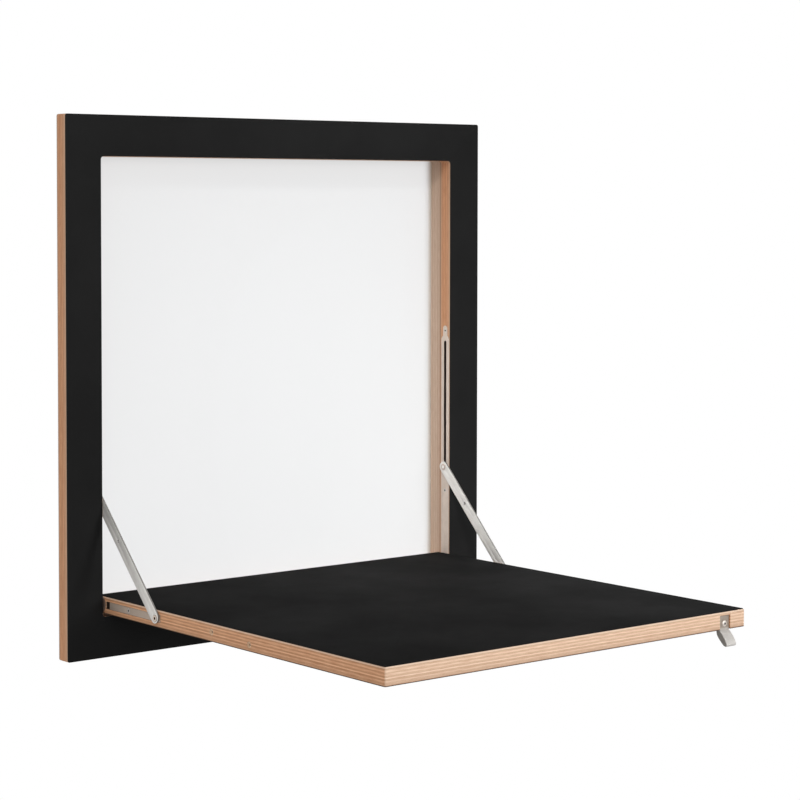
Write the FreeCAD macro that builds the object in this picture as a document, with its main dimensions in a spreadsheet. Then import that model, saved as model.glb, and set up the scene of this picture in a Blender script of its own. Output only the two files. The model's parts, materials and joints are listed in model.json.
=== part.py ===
import FreeCAD, Part
import os
import Sketcher

# A wall table that folds down out of a square picture-like frame.
#
# X runs to the right as one faces the wall, Y points into the wall and Z points up, in millimetres.
# The origin lies on the wall, in the middle of the line of screws that holds the wall rail.
# The leaf is drawn folded down, level, held by its two stays.

os.makedirs("parts", exist_ok=True)
doc = FreeCAD.newDocument("wall_folding_table")

# Driving sizes

BOARD_SIZES = {
    "frame_width": 710,
    "frame_height": 710,
    "band_width": 54,
    "board_thickness": 21,
    "laminate_thickness": 0.8,
    "frame_corner_radius": 3,
    "opening_corner_radius": 4.5,
    "rear_depth": 21,
    "rear_band_width": 40,
}
LEAF_SIZES = {
    "side_gap": 4.2,
    "top_gap": 3,
    "tail_gap": 2.5,
    "hinge_rise": 15.5,
    "leaf_thickness": 23,
    "hinge_inset": 11.3,
    "leaf_corner_radius": 2.5,
    "leaf_chamfer": 1.6,
    "tail_radius": 6.5,
}
HANGING_SIZES = {
    "sheet_thickness": 2,
    "hook_clearance": 0.2,
    "hook_overlap": 5.5,
    "wall_flange_height": 11,
    "hanger_flange_height": 8,
    "hanging_rail_length": 560,
    "rebate_depth": 6.5,
    "rebate_lip": 3,
    "rebate_end_room": 10,
    "lowering_room": 8.5,
    "wall_hole_radius": 2.5,
    "wall_hole_margin": 40,
    "hanger_screw_margin": 30,
}
STAY_SIZES = {
    "stay_length": 190,
    "stay_offset": 131,
    "arm_width": 16,
    "arm_thickness": 2.2,
    "arm_end_setback": 2,
    "arm_hole_radius": 2,
    "arm_hole_distance": 68,
    "flat_gap": 0.1,
    "turning_fit": 0.05,
    "rail_width": 17,
    "rail_thickness": 3,
    "rail_foot": 4,
    "rail_shoulder_rise": 2.5,
    "rail_end_margin": 17.4,
    "tongue_width": 9.5,
    "tongue_end_rise": 2.6,
    "rail_screw_margin": 34.8,
    "groove_fit": 0.15,
    "slider_radius": 2.5,
    "slot_fit": 0.1,
    "guide_radius": 4.2,
    "guide_thickness": 1.6,
    "channel_room": 0.6,
    "pin_head_radius": 4.6,
    "pin_head_thickness": 0.75,
    "washer_radius": 6,
    "washer_thickness": 0.6,
    "rivet_radius": 2.4,
    "rivet_bore_radius": 1.5,
    "rivet_head_radius": 4.6,
    "rivet_head_thickness": 0.6,
    "plate_start": 20.5,
    "plate_length": 117.5,
    "plate_height": 9.2,
    "plate_thickness": 3,
    "plate_side_room": 0.3,
    "mortise_head_room": 8.5,
    "mortise_head_depth": 9,
    "first_plate_screw": 65,
    "second_plate_screw": 117,
}
HINGE_SIZES = {
    "hinge_pin_radius": 4,
    "hinge_pin_engagement": 16,
    "hinge_pin_head_radius": 5.5,
    "hinge_pin_head_thickness": 1.5,
    "bush_wall": 2,
    "bush_length": 19,
    "bush_flange_radius": 11,
    "bush_flange_thickness": 1.5,
}
MAGNET_SIZES = {
    "magnet_radius": 4,
    "magnet_length": 8,
    "magnet_recess": 0.3,
    "cup_wall": 1.3,
    "cup_depth": 1.4,
    "first_magnet": 250,
    "second_magnet": 328,
    "second_magnet_drop": 3.8,
}
PULL_SIZES = {
    "pull_width": 18.6,
    "pull_edge_distance": 36.6,
    "pull_plate_thickness": 2.5,
    "pull_plate_height": 17.2,
    "pull_drop": 19.8,
    "pull_reach": 11,
    "pull_heel": 2.6,
    "pull_edge_radius": 1.6,
    "pull_screw_height": 7.4,
    "pull_seat_gap": 0.2,
    "notch_depth": 4.5,
    "notch_side_fit": 0.2,
    "notch_top_room": 1,
    "pan_head_radius": 4.2,
    "pan_head_thickness": 1.9,
    "pan_shank_radius": 1.7,
    "pan_length": 16,
}
SCREW_SIZES = {
    "screw_fit": 0.05,
    "small_head_radius": 3.2,
    "small_head_depth": 1.5,
    "small_shank_radius": 1.7,
    "small_length": 15,
    "small_tip_length": 3,
    "long_head_radius": 4,
    "long_head_depth": 2,
    "long_shank_radius": 2,
    "long_length": 34,
    "long_tip_length": 4,
    "overrun": 1,
}

# Places that follow from the driving sizes

PLACES = {
    "frame_top": "sizes.band_width - sizes.rebate_lip - sizes.lowering_room - sizes.wall_flange_height / 2",
    "frame_middle": "frame_top - sizes.frame_height / 2",
    "opening_top": "frame_top - sizes.band_width",
    "opening_bottom": "frame_top - sizes.frame_height + sizes.band_width",
    "board_width": "sizes.frame_width",
    "board_height": "sizes.frame_height",
    "opening_width": "board_width - 2 * sizes.band_width",
    "opening_height": "board_height - 2 * sizes.band_width",
    "rear_width": "opening_width + 2 * sizes.rear_band_width",
    "rear_height": "opening_height + 2 * sizes.rear_band_width",
    "rear_top": "opening_top + sizes.rear_band_width",
    "reveal": "opening_width / 2",
    "board_back": "-sizes.rear_depth",
    "board_front": "board_back - sizes.board_thickness",
    "hinge_depth": "board_back - sizes.board_thickness / 2",
    "hinge_height": "opening_bottom + sizes.hinge_rise",
    "leaf_top": "hinge_height + sizes.hinge_inset",
    "leaf_underside": "leaf_top - sizes.leaf_thickness",
    "leaf_front": "hinge_depth - opening_height + sizes.hinge_rise + sizes.top_gap",
    "leaf_tail": "hinge_depth + sizes.hinge_rise - sizes.tail_gap",
    "leaf_length": "leaf_tail - leaf_front",
    "leaf_side": "reveal - sizes.side_gap",
    "leaf_width": "2 * leaf_side",
    "slider_rise": "sqrt(sizes.stay_length ^ 2 - sizes.stay_offset ^ 2)",
    "closed_slider_rise": "sizes.stay_length + sizes.stay_offset",
    "slider_height": "hinge_height + slider_rise",
    "closed_slider_height": "hinge_height + closed_slider_rise",
    "rail_top_screw": "closed_slider_height + sizes.rail_end_margin",
    "rail_low_screw": "slider_height - sizes.rail_screw_margin",
    "rail_back": "reveal + sizes.rail_thickness",
    "rail_bottom": "hinge_height - sizes.rail_foot",
    "rail_shoulder": "closed_slider_height + sizes.rail_shoulder_rise",
    "tongue_end": "rail_top_screw + sizes.tongue_end_rise",
    "slot_radius": "sizes.slider_radius + sizes.slot_fit",
    "washer_outer": "reveal - sizes.flat_gap",
    "washer_inner": "washer_outer - sizes.washer_thickness",
    "arm_outer": "washer_inner - sizes.flat_gap",
    "arm_inner": "arm_outer - sizes.arm_thickness",
    "rivet_place": "hinge_depth - sizes.stay_offset",
    "plate_back": "leaf_side - sizes.plate_thickness",
    "plate_rear": "hinge_depth - sizes.plate_start",
    "plate_front": "plate_rear - sizes.plate_length",
    "bush_radius": "sizes.hinge_pin_radius + sizes.turning_fit + sizes.bush_wall",
    "step_low": "sizes.wall_flange_height / 2",
    "lip_low": "step_low + sizes.sheet_thickness",
    "lip_top": "lip_low + sizes.hook_overlap",
    "hanger_flange_low": "lip_top + sizes.sheet_thickness",
    "hanger_flange_top": "hanger_flange_low + sizes.hanger_flange_height",
    "hanger_back": "-sizes.rebate_depth",
    "lip_back": "-sizes.sheet_thickness - 2 * sizes.hook_clearance",
    "rebate_low": "-step_low - sizes.lowering_room",
    "outer_wall_hole": "sizes.hanging_rail_length / 2 - sizes.wall_hole_margin",
    "inner_wall_hole": "outer_wall_hole / 2",
    "hanger_screw_span": "sizes.hanging_rail_length - 2 * sizes.hanger_screw_margin",
    "pull_middle": "leaf_side - sizes.pull_edge_distance",
    "notch_floor": "leaf_front + sizes.notch_depth",
    "pull_plate_front": "notch_floor - sizes.pull_plate_thickness",
    "pull_screw_place": "leaf_underside + sizes.pull_screw_height",
}

sizes = doc.addObject("Spreadsheet::Sheet", "sizes")
places = doc.addObject("Spreadsheet::Sheet", "places")


def fill(sheet, rows):
    """Write each name and its number or rule side by side, with the name as the alias."""
    for row, (name, content) in enumerate(rows, start=1):
        sheet.set(f"A{row}", name)
        sheet.set(f"B{row}", content)
        sheet.setAlias(f"B{row}", name)


def size(name):
    """A driving size as a number, for the piece whose outline is worked out here."""
    return float(sizes.get(name))


def place(name):
    """A derived place as a number."""
    return float(places.get(name))


size_tables = (
    BOARD_SIZES,
    LEAF_SIZES,
    HANGING_SIZES,
    STAY_SIZES,
    HINGE_SIZES,
    MAGNET_SIZES,
    PULL_SIZES,
    SCREW_SIZES,
)
fill(sizes, [(name, str(number)) for table in size_tables for name, number in table.items()])
doc.recompute()
fill(places, [(name, f"={rule}") for name, rule in PLACES.items()])
doc.recompute()

# Ways to make a piece

TURNS = {
    "+x": FreeCAD.Rotation(FreeCAD.Vector(0, 1, 0), 90),
    "-x": FreeCAD.Rotation(FreeCAD.Vector(0, 1, 0), -90),
    "+y": FreeCAD.Rotation(FreeCAD.Vector(1, 0, 0), -90),
    "-y": FreeCAD.Rotation(FreeCAD.Vector(1, 0, 0), 90),
}
ALIGNED_SHARE = 0.999
pieces = []


def keep(piece, label):
    """Mark an object as a finished piece under its own name."""
    piece.Label = label
    pieces.append(piece)
    return piece


def block(name, x, y, z):
    """A straight block, each of its three spans given as a low and a high expression."""
    made = doc.addObject("Part::Box", name)
    for side, axis, (low, high) in zip(("Length", "Width", "Height"), "xyz", (x, y, z)):
        made.setExpression(side, f"({high}) - ({low})")
        made.setExpression(f"Placement.Base.{axis}", low)
    return made


def turned(name, direction, start, sections):
    """A turned piece: cylinders and cones on one axis, given as first radius, second radius and length."""
    parts = []
    done = "0"
    sign, axis = direction
    for number, (first, second, length) in enumerate(sections, start=1):
        kind = "Part::Cylinder" if first == second else "Part::Cone"
        part = doc.addObject(kind, f"{name}_{number}")
        part.Placement = FreeCAD.Placement(FreeCAD.Vector(), TURNS[direction])
        if kind == "Part::Cylinder":
            part.setExpression("Radius", first)
        else:
            part.setExpression("Radius1", first)
            part.setExpression("Radius2", second)
        part.setExpression("Height", length)
        for letter, where in zip("xyz", start):
            moved = f"{where} {sign} ({done})" if letter == axis else where
            part.setExpression(f"Placement.Base.{letter}", moved)
        done = f"{done} + {length}"
        parts.append(part)
    return parts[0] if len(parts) == 1 else fuse(name, parts)


def rod(name, direction, radius, start, length):
    """A round bar or a round cutter."""
    return turned(name, direction, start, [(radius, radius, length)])


def fuse(name, parts):
    """Several shapes joined into one."""
    made = doc.addObject("Part::MultiFuse", name)
    made.Shapes = parts
    made.Refine = True
    return made


def cut(name, base, tools):
    """A shape with others taken away."""
    made = doc.addObject("Part::Cut", name)
    made.Base = base
    made.Tool = tools[0] if len(tools) == 1 else fuse(f"{name}_tools", tools)
    return made


def layer(name, whole, x, y, z):
    """The part of a board that lies inside one layer, given by its three spans."""
    made = doc.addObject("Part::Common", name)
    made.Base = whole
    made.Tool = block(f"{name}_slab", x, y, z)
    return made


def group(name, parts):
    """Like fasteners that share one name."""
    made = doc.addObject("Part::Compound", name)
    made.Links = parts
    return made


def mirrored(piece, name):
    """The same piece on the left side."""
    made = doc.addObject("Part::Mirroring", name)
    made.Source = piece
    made.Normal = FreeCAD.Vector(1, 0, 0)
    return made


def keep_pair(piece, label):
    """Keep a right-hand piece and its mirror image."""
    keep(piece, f"{label}_right")
    keep(mirrored(piece, f"{label}_mirror"), f"{label}_left")


def on_both_sides(cutter):
    """A cutter with its mirror image."""
    return [cutter, mirrored(cutter, f"{cutter.Name}_mirror")]


def stadium(name, radius, x, y, z):
    """A flat bar with round ends, upright, from the low to the high end centre."""
    (inner, outer), (low, high) = x, z
    span = f"({outer}) - ({inner})"
    middle = block(f"{name}_middle", x, (f"{y} - ({radius})", f"{y} + ({radius})"), z)
    ends = [
        rod(f"{name}_{where}", "+x", radius, (inner, y, height), span)
        for where, height in (("low", low), ("high", high))
    ]
    return fuse(name, [middle] + ends)


def origin_plane(body, role):
    """One of the body's own origin planes."""
    return next(feature for feature in body.Origin.OriginFeatures if feature.Role == role)


def centred_rectangle(outline, tag, width, height):
    """Draw a rectangle about the origin of a sketch and bind its two spans to places."""
    half_x = place(width) / 2
    half_y = place(height) / 2
    corners = [(-half_x, -half_y), (half_x, -half_y), (half_x, half_y), (-half_x, half_y)]
    points = [FreeCAD.Vector(x, y, 0) for x, y in corners]
    lines = [
        outline.addGeometry(Part.LineSegment(points[index], points[(index + 1) % len(points)]))
        for index in range(len(points))
    ]
    for index, line in enumerate(lines):
        outline.addConstraint(Sketcher.Constraint("Coincident", line, 2, lines[(index + 1) % len(lines)], 1))
        outline.addConstraint(Sketcher.Constraint("Vertical" if index % 2 else "Horizontal", line))
    outline.addConstraint(Sketcher.Constraint("Symmetric", lines[0], 1, lines[2], 1, -1, 1))
    for kind, line, name in (("DistanceX", lines[0], width), ("DistanceY", lines[1], height)):
        number = outline.addConstraint(Sketcher.Constraint(kind, line, 1, line, 2, place(name)))
        outline.renameConstraint(number, f"{tag}_{name}")
        outline.setExpression(f"Constraints.{tag}_{name}", f"places.{name}")


def slab_body(name, role, rectangles, thickness):
    """A flat board: nested rectangles on an origin plane, padded to a thickness."""
    body = doc.addObject("PartDesign::Body", name)
    outline = body.newObject("Sketcher::SketchObject", f"{name}_outline")
    outline.AttachmentSupport = [(origin_plane(body, role), "")]
    outline.MapMode = "FlatFace"
    for tag, width, height in rectangles:
        centred_rectangle(outline, tag, width, height)
    pad = body.newObject("PartDesign::Pad", f"{name}_pad")
    pad.Profile = outline
    pad.setExpression("Length", thickness)
    doc.recompute()
    return body, pad


def round_edges(body, base, name, radius, wanted):
    """Round the edges of a body that a test picks out."""
    names = [f"Edge{number}" for number, edge in enumerate(base.Shape.Edges, start=1) if wanted(edge)]
    fillet = body.newObject("PartDesign::Fillet", name)
    fillet.Base = (base, names)
    fillet.setExpression("Radius", radius)
    doc.recompute()
    return fillet


def chamfer_edges(body, base, name, wanted):
    """Cut the leaf's narrow chamfer along the edges that a test picks out."""
    names = [f"Edge{number}" for number, edge in enumerate(base.Shape.Edges, start=1) if wanted(edge)]
    chamfer = body.newObject("PartDesign::Chamfer", name)
    chamfer.Base = (base, names)
    chamfer.setExpression("Size", "sizes.leaf_chamfer")
    doc.recompute()
    return chamfer


def runs_along(edge, axis):
    """Whether a straight edge runs along an axis."""
    return abs(getattr(edge.tangentAt(edge.FirstParameter), axis)) > ALIGNED_SHARE


def lies_at(edge, axis, where):
    """Whether a whole edge lies at one coordinate, to within half a laminate's thickness."""
    bounds = edge.BoundBox
    near = size("laminate_thickness") / 2
    ends = (getattr(bounds, f"{axis.upper()}Min"), getattr(bounds, f"{axis.upper()}Max"))
    return all(abs(end - where) < near for end in ends)


def screw(name, direction, start, kind):
    """A countersunk wood screw, from the plane of its head to its tip."""
    head, shank = f"sizes.{kind}_head_radius", f"sizes.{kind}_shank_radius"
    plain = f"sizes.{kind}_length - sizes.{kind}_head_depth - sizes.{kind}_tip_length"
    sections = [
        (head, shank, f"sizes.{kind}_head_depth"),
        (shank, shank, plain),
        (shank, "0", f"sizes.{kind}_tip_length"),
    ]
    return turned(name, direction, start, sections)


def screw_hole(name, direction, start, kind):
    """The countersunk hole that such a screw sits in."""
    sign, axis = direction
    back = "-" if sign == "+" else "+"
    head = f"sizes.{kind}_head_radius + sizes.screw_fit"
    shank = f"sizes.{kind}_shank_radius + sizes.screw_fit"
    begin = list(start)
    begin["xyz".index(axis)] += f" {back} sizes.overrun"
    sections = [
        (head, head, "sizes.overrun"),
        (head, shank, f"sizes.{kind}_head_depth"),
        (shank, shank, f"sizes.{kind}_length - sizes.{kind}_head_depth + sizes.screw_fit"),
    ]
    return turned(name, direction, begin, sections)


# Where the screws go

rail_screw_starts = [
    ("places.reveal", "places.hinge_depth", "places.rail_top_screw"),
    ("places.reveal", "places.hinge_depth", "places.rail_low_screw"),
]
plate_screw_starts = [
    ("places.leaf_side", "places.hinge_depth - sizes.first_plate_screw", "places.hinge_height"),
    ("places.leaf_side", "places.hinge_depth - sizes.second_plate_screw", "places.hinge_height"),
]
HANGER_SCREW_SHARES = (-0.5, -0.25, 0, 0.25, 0.5)
hanger_screw_starts = [
    (
        f"{share} * places.hanger_screw_span",
        "places.hanger_back + sizes.sheet_thickness",
        "(places.hanger_flange_low + places.hanger_flange_top) / 2",
    )
    for share in HANGER_SCREW_SHARES
]
SIDE_SCREW_SHARES = (-0.4, 0, 0.4)
BOTTOM_SCREW_SHARES = (-0.3, 0.3)
side_line = "places.reveal + sizes.rear_band_width / 2"
rear_screw_starts = [
    (f"{side}({side_line})", "0", f"places.frame_middle + {share} * places.opening_height")
    for side in ("", "-")
    for share in SIDE_SCREW_SHARES
] + [
    (f"{share} * places.opening_width", "0", "places.opening_bottom - sizes.rear_band_width / 2")
    for share in BOTTOM_SCREW_SHARES
]


def screws(name, direction, starts, kind):
    """A set of like screws."""
    numbered = enumerate(starts, start=1)
    return [screw(f"{name}_{number}", direction, start, kind) for number, start in numbered]


def screw_holes(name, direction, starts, kind):
    """The holes for a set of like screws."""
    numbered = enumerate(starts, start=1)
    return [screw_hole(f"{name}_{number}", direction, start, kind) for number, start in numbered]


def rail_outline(name, x, room):
    """The outline of a stay rail, wide along its slot and narrow at its top screw."""
    wide = stadium(
        f"{name}_wide",
        f"sizes.rail_width / 2 + {room}",
        x,
        "places.hinge_depth",
        ("places.rail_bottom", "places.rail_shoulder"),
    )
    narrow = stadium(
        f"{name}_narrow",
        f"sizes.tongue_width / 2 + {room}",
        x,
        "places.hinge_depth",
        ("places.rail_shoulder", "places.tongue_end"),
    )
    return fuse(name, [wide, narrow])


def make_front_board():
    """The square ring that one sees: plywood with a thin laminate on each face."""
    places_used = (("outer", "board_width", "board_height"), ("opening", "opening_width", "opening_height"))
    body, pad = slab_body("board_ring", "XZ_Plane", places_used, "sizes.board_thickness")
    outer_limit = place("reveal") + size("band_width") / 2

    def outer_corner(edge):
        return runs_along(edge, "y") and abs(edge.CenterOfMass.x) > outer_limit

    def opening_corner(edge):
        return runs_along(edge, "y") and abs(edge.CenterOfMass.x) < outer_limit

    outside = round_edges(body, pad, "board_outer_rounding", "sizes.frame_corner_radius", outer_corner)
    round_edges(body, outside, "opening_rounding", "sizes.opening_corner_radius", opening_corner)
    body.setExpression("Placement.Base.y", "places.board_back")
    body.setExpression("Placement.Base.z", "places.frame_middle")
    doc.recompute()

    across = ("-places.board_width", "places.board_width")
    upright = ("places.frame_middle - places.board_height", "places.frame_middle + places.board_height")
    front_glue = "places.board_front + sizes.laminate_thickness"
    back_glue = "places.board_back - sizes.laminate_thickness"
    whole_core = layer("board_core_layer", body, across, (front_glue, back_glue), upright)
    face = layer("board_face_layer", body, across, ("places.board_front", front_glue), upright)
    backing = layer("board_backing_layer", body, across, (back_glue, "places.board_back"), upright)

    groove_depth = ("places.reveal - sizes.overrun", "places.rail_back")
    groove = rail_outline("rail_groove", groove_depth, "sizes.groove_fit")
    channel = stadium(
        "guide_channel",
        "sizes.guide_radius + sizes.channel_room",
        (
            "places.rail_back - sizes.overrun",
            "places.rail_back + sizes.guide_thickness + sizes.channel_room",
        ),
        "places.hinge_depth",
        ("places.slider_height", "places.closed_slider_height"),
    )
    pocket = rod(
        "hinge_head_pocket",
        "+x",
        "sizes.hinge_pin_head_radius + sizes.groove_fit",
        ("places.rail_back - sizes.overrun", "places.hinge_depth", "places.hinge_height"),
        "sizes.overrun + sizes.hinge_pin_head_thickness + sizes.groove_fit",
    )
    rail_holes = screw_holes("rail_screw_hole", "+x", rail_screw_starts, "small")
    cutters = []
    for cutter in [groove, channel, pocket] + rail_holes:
        cutters += on_both_sides(cutter)
    rear_holes = screw_holes("board_screw_hole", "-y", rear_screw_starts, "long")
    keep(cut("board_core_cut", whole_core, cutters + rear_holes), "front_board_core")
    keep(face, "front_board_face_laminate")
    keep(cut("board_backing_cut", backing, rear_holes), "front_board_back_laminate")
    return rear_holes


def make_rear_frame(rear_holes):
    """The narrower ring behind the front board, which stands it off the wall."""
    places_used = (("outer", "rear_width", "rear_height"), ("opening", "opening_width", "opening_height"))
    body, pad = slab_body("rear_ring", "XZ_Plane", places_used, "sizes.rear_depth")
    outer_limit = place("reveal") + size("rear_band_width") / 2

    def outer_corner(edge):
        return runs_along(edge, "y") and abs(edge.CenterOfMass.x) > outer_limit

    def opening_corner(edge):
        return runs_along(edge, "y") and abs(edge.CenterOfMass.x) < outer_limit

    rounded = round_edges(body, pad, "rear_outer_rounding", "sizes.frame_corner_radius", outer_corner)
    round_edges(body, rounded, "rear_rounding_inside", "sizes.opening_corner_radius", opening_corner)
    body.setExpression("Placement.Base.z", "places.frame_middle")
    doc.recompute()

    half_rebate = "(sizes.hanging_rail_length / 2 + sizes.rebate_end_room)"
    rebate = block(
        "hanging_rebate",
        (f"-{half_rebate}", half_rebate),
        ("places.hanger_back", "sizes.overrun"),
        ("places.rebate_low", "places.rear_top + sizes.overrun"),
    )
    hanger_holes = screw_holes("hanger_hole_in_wood", "-y", hanger_screw_starts, "small")
    keep(cut("rear_ring_cut", body, [rebate] + rear_holes + hanger_holes), "rear_frame")
    rear_screws = screws("rear_screw", "-y", rear_screw_starts, "long")
    keep(group("rear_screw_group", rear_screws), "rear_frame_screws")


def make_hanging_rails():
    """Two folded steel rails: one is screwed to the wall and the frame's own rail hooks over it."""
    along = ("-sizes.hanging_rail_length / 2", "sizes.hanging_rail_length / 2")
    lip_front = "places.lip_back - sizes.sheet_thickness"
    flat = ("-sizes.sheet_thickness", "0")
    wall_profile = [
        block("wall_flange", along, flat, ("-places.step_low", "places.step_low")),
        block("wall_step", along, (lip_front, "0"), ("places.step_low", "places.lip_low")),
        block("wall_lip", along, (lip_front, "places.lip_back"), ("places.lip_low", "places.lip_top")),
    ]
    wall_holes = [
        rod(
            f"wall_hole_{name}_{number}",
            "+y",
            "sizes.wall_hole_radius",
            (f"{side}places.{name}_wall_hole", "-sizes.sheet_thickness - sizes.overrun", "0"),
            "sizes.sheet_thickness + 2 * sizes.overrun",
        )
        for name in ("inner", "outer")
        for number, side in enumerate(("", "-"), start=1)
    ]
    keep(cut("wall_rail_cut", fuse("wall_rail_profile", wall_profile), wall_holes), "wall_rail")

    hook_back = "-sizes.hook_clearance"
    hook_low = "places.lip_low + sizes.hook_clearance"
    flange_face = "places.hanger_back + sizes.sheet_thickness"
    hook = (f"{hook_back} - sizes.sheet_thickness", hook_back)
    web_height = ("places.lip_top", "places.hanger_flange_low")
    flange_height = ("places.hanger_flange_low", "places.hanger_flange_top")
    hanger_profile = [
        block("hanger_hook", along, hook, (hook_low, "places.lip_top")),
        block("hanger_web", along, ("places.hanger_back", hook_back), web_height),
        block("hanger_flange", along, ("places.hanger_back", flange_face), flange_height),
    ]
    holes = screw_holes("hanger_hole_in_steel", "-y", hanger_screw_starts, "small")
    keep(cut("hanger_rail_cut", fuse("hanger_rail_profile", hanger_profile), holes), "hanger_rail")
    hanger_screws = screws("hanger_screw", "-y", hanger_screw_starts, "small")
    keep(group("hanger_screw_group", hanger_screws), "hanger_rail_screws")


def make_stay_rails():
    """The slotted steel rails in the side reveals, which also hold the hinge pins."""
    rail = rail_outline("rail_blank", ("places.reveal", "places.rail_back"), "0")
    slot = stadium(
        "rail_slot",
        "places.slot_radius",
        ("places.reveal - sizes.overrun", "places.rail_back + sizes.overrun"),
        "places.hinge_depth",
        ("places.slider_height", "places.closed_slider_height"),
    )
    pin_hole = rod(
        "rail_pin_hole",
        "+x",
        "sizes.hinge_pin_radius + sizes.screw_fit",
        ("places.reveal - sizes.overrun", "places.hinge_depth", "places.hinge_height"),
        "sizes.rail_thickness + 2 * sizes.overrun",
    )
    holes = screw_holes("rail_hole", "+x", rail_screw_starts, "small")
    keep_pair(cut("rail_cut", rail, [slot, pin_hole] + holes), "stay_rail")
    rail_screws = screws("rail_screw", "+x", rail_screw_starts, "small")
    keep_pair(group("rail_screw_group", rail_screws), "stay_rail_screws")

    pin = turned(
        "hinge_pin_blank",
        "-x",
        (
            "places.rail_back + sizes.hinge_pin_head_thickness",
            "places.hinge_depth",
            "places.hinge_height",
        ),
        [
            ("sizes.hinge_pin_head_radius", "sizes.hinge_pin_head_radius", "sizes.hinge_pin_head_thickness"),
            (
                "sizes.hinge_pin_radius",
                "sizes.hinge_pin_radius",
                "sizes.rail_thickness + sizes.side_gap + sizes.hinge_pin_engagement",
            ),
        ],
    )
    keep_pair(pin, "hinge_pin")


# Where the holding magnets lie in each side of the leaf, as the Y and the Z of their centres
MAGNET_CENTRES = [
    ("first", ("places.hinge_depth - sizes.first_magnet", "places.hinge_height")),
    (
        "second",
        (
            "places.hinge_depth - sizes.second_magnet",
            "places.hinge_height - sizes.second_magnet_drop",
        ),
    ),
]


def make_leaf():
    """The table leaf: plywood with a laminate above and below, and its side fittings."""
    places_used = (("leaf", "leaf_width", "leaf_length"),)
    body, pad = slab_body("leaf_slab", "XY_Plane", places_used, "sizes.leaf_thickness")

    def front_corner(edge):
        return runs_along(edge, "z") and edge.CenterOfMass.y < 0

    def tail_edge(edge):
        return runs_along(edge, "x") and edge.CenterOfMass.y > 0

    def top_edge(edge):
        return lies_at(edge, "z", size("leaf_thickness")) and not tail_edge(edge)

    front = round_edges(body, pad, "leaf_corner_rounding", "sizes.leaf_corner_radius", front_corner)
    top = chamfer_edges(body, front, "leaf_top_chamfer", top_edge)
    round_edges(body, top, "leaf_tail_rounding", "sizes.tail_radius", tail_edge)
    body.setExpression("Placement.Base.y", "(places.leaf_front + places.leaf_tail) / 2")
    body.setExpression("Placement.Base.z", "places.leaf_underside")
    doc.recompute()

    across = ("-places.leaf_width", "places.leaf_width")
    along = ("places.leaf_front - sizes.overrun", "places.leaf_tail + sizes.overrun")
    top_glue = "places.leaf_top - sizes.laminate_thickness"
    low_glue = "places.leaf_underside + sizes.laminate_thickness"
    core = layer("leaf_core_layer", body, across, along, (low_glue, top_glue))
    surface = layer("leaf_top_layer", body, across, along, (top_glue, "places.leaf_top"))
    under = layer("leaf_under_layer", body, across, along, ("places.leaf_underside", low_glue))

    half_mortise = "(sizes.plate_height / 2 + sizes.plate_side_room)"
    outside = "places.leaf_side + sizes.overrun"
    mortise_height = (f"places.hinge_height - {half_mortise}", f"places.hinge_height + {half_mortise}")
    mortise = block(
        "plate_mortise",
        ("places.plate_back", outside),
        ("places.plate_front - sizes.plate_side_room", "places.plate_rear + sizes.mortise_head_room"),
        mortise_height,
    )
    head = block(
        "mortise_head",
        ("places.leaf_side - sizes.mortise_head_depth", outside),
        ("places.plate_rear + sizes.plate_side_room", "places.plate_rear + sizes.mortise_head_room"),
        mortise_height,
    )
    rivet_room = rod(
        "rivet_room",
        "-x",
        "sizes.rivet_head_radius",
        ("places.leaf_side", "places.rivet_place", "places.hinge_height"),
        "sizes.plate_thickness + sizes.pin_head_thickness",
    )
    bush_bore = rod(
        "bush_bore",
        "-x",
        "places.bush_radius + sizes.turning_fit",
        (outside, "places.hinge_depth", "places.hinge_height"),
        "sizes.overrun + sizes.bush_length + sizes.groove_fit",
    )
    magnet_bores = [
        rod(
            f"magnet_bore_{name}",
            "-x",
            "sizes.magnet_radius + sizes.turning_fit",
            (outside,) + centre,
            "sizes.overrun + sizes.magnet_recess + sizes.magnet_length + sizes.groove_fit",
        )
        for name, centre in MAGNET_CENTRES
    ]
    plate_holes = screw_holes("plate_hole_in_wood", "-x", plate_screw_starts, "small")
    cutters = []
    for cutter in [mortise, head, rivet_room, bush_bore] + magnet_bores + plate_holes:
        cutters += on_both_sides(cutter)
    half_notch = "(sizes.pull_width / 2 + sizes.notch_side_fit)"
    notch = block(
        "pull_notch",
        (f"places.pull_middle - {half_notch}", f"places.pull_middle + {half_notch}"),
        ("places.leaf_front - sizes.overrun", "places.notch_floor"),
        (
            "places.leaf_underside - sizes.overrun",
            "places.leaf_underside + sizes.pull_plate_height + sizes.notch_top_room",
        ),
    )
    pull_hole = rod(
        "pull_hole_in_wood",
        "+y",
        "sizes.pan_shank_radius + sizes.screw_fit",
        ("places.pull_middle", "places.pull_plate_front", "places.pull_screw_place"),
        "sizes.pan_length + sizes.screw_fit",
    )
    keep(cut("leaf_core_cut", core, cutters + [notch, pull_hole]), "leaf_core")
    keep(surface, "leaf_top_laminate")
    keep(cut("leaf_under_cut", under, [notch]), "leaf_under_laminate")


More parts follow.
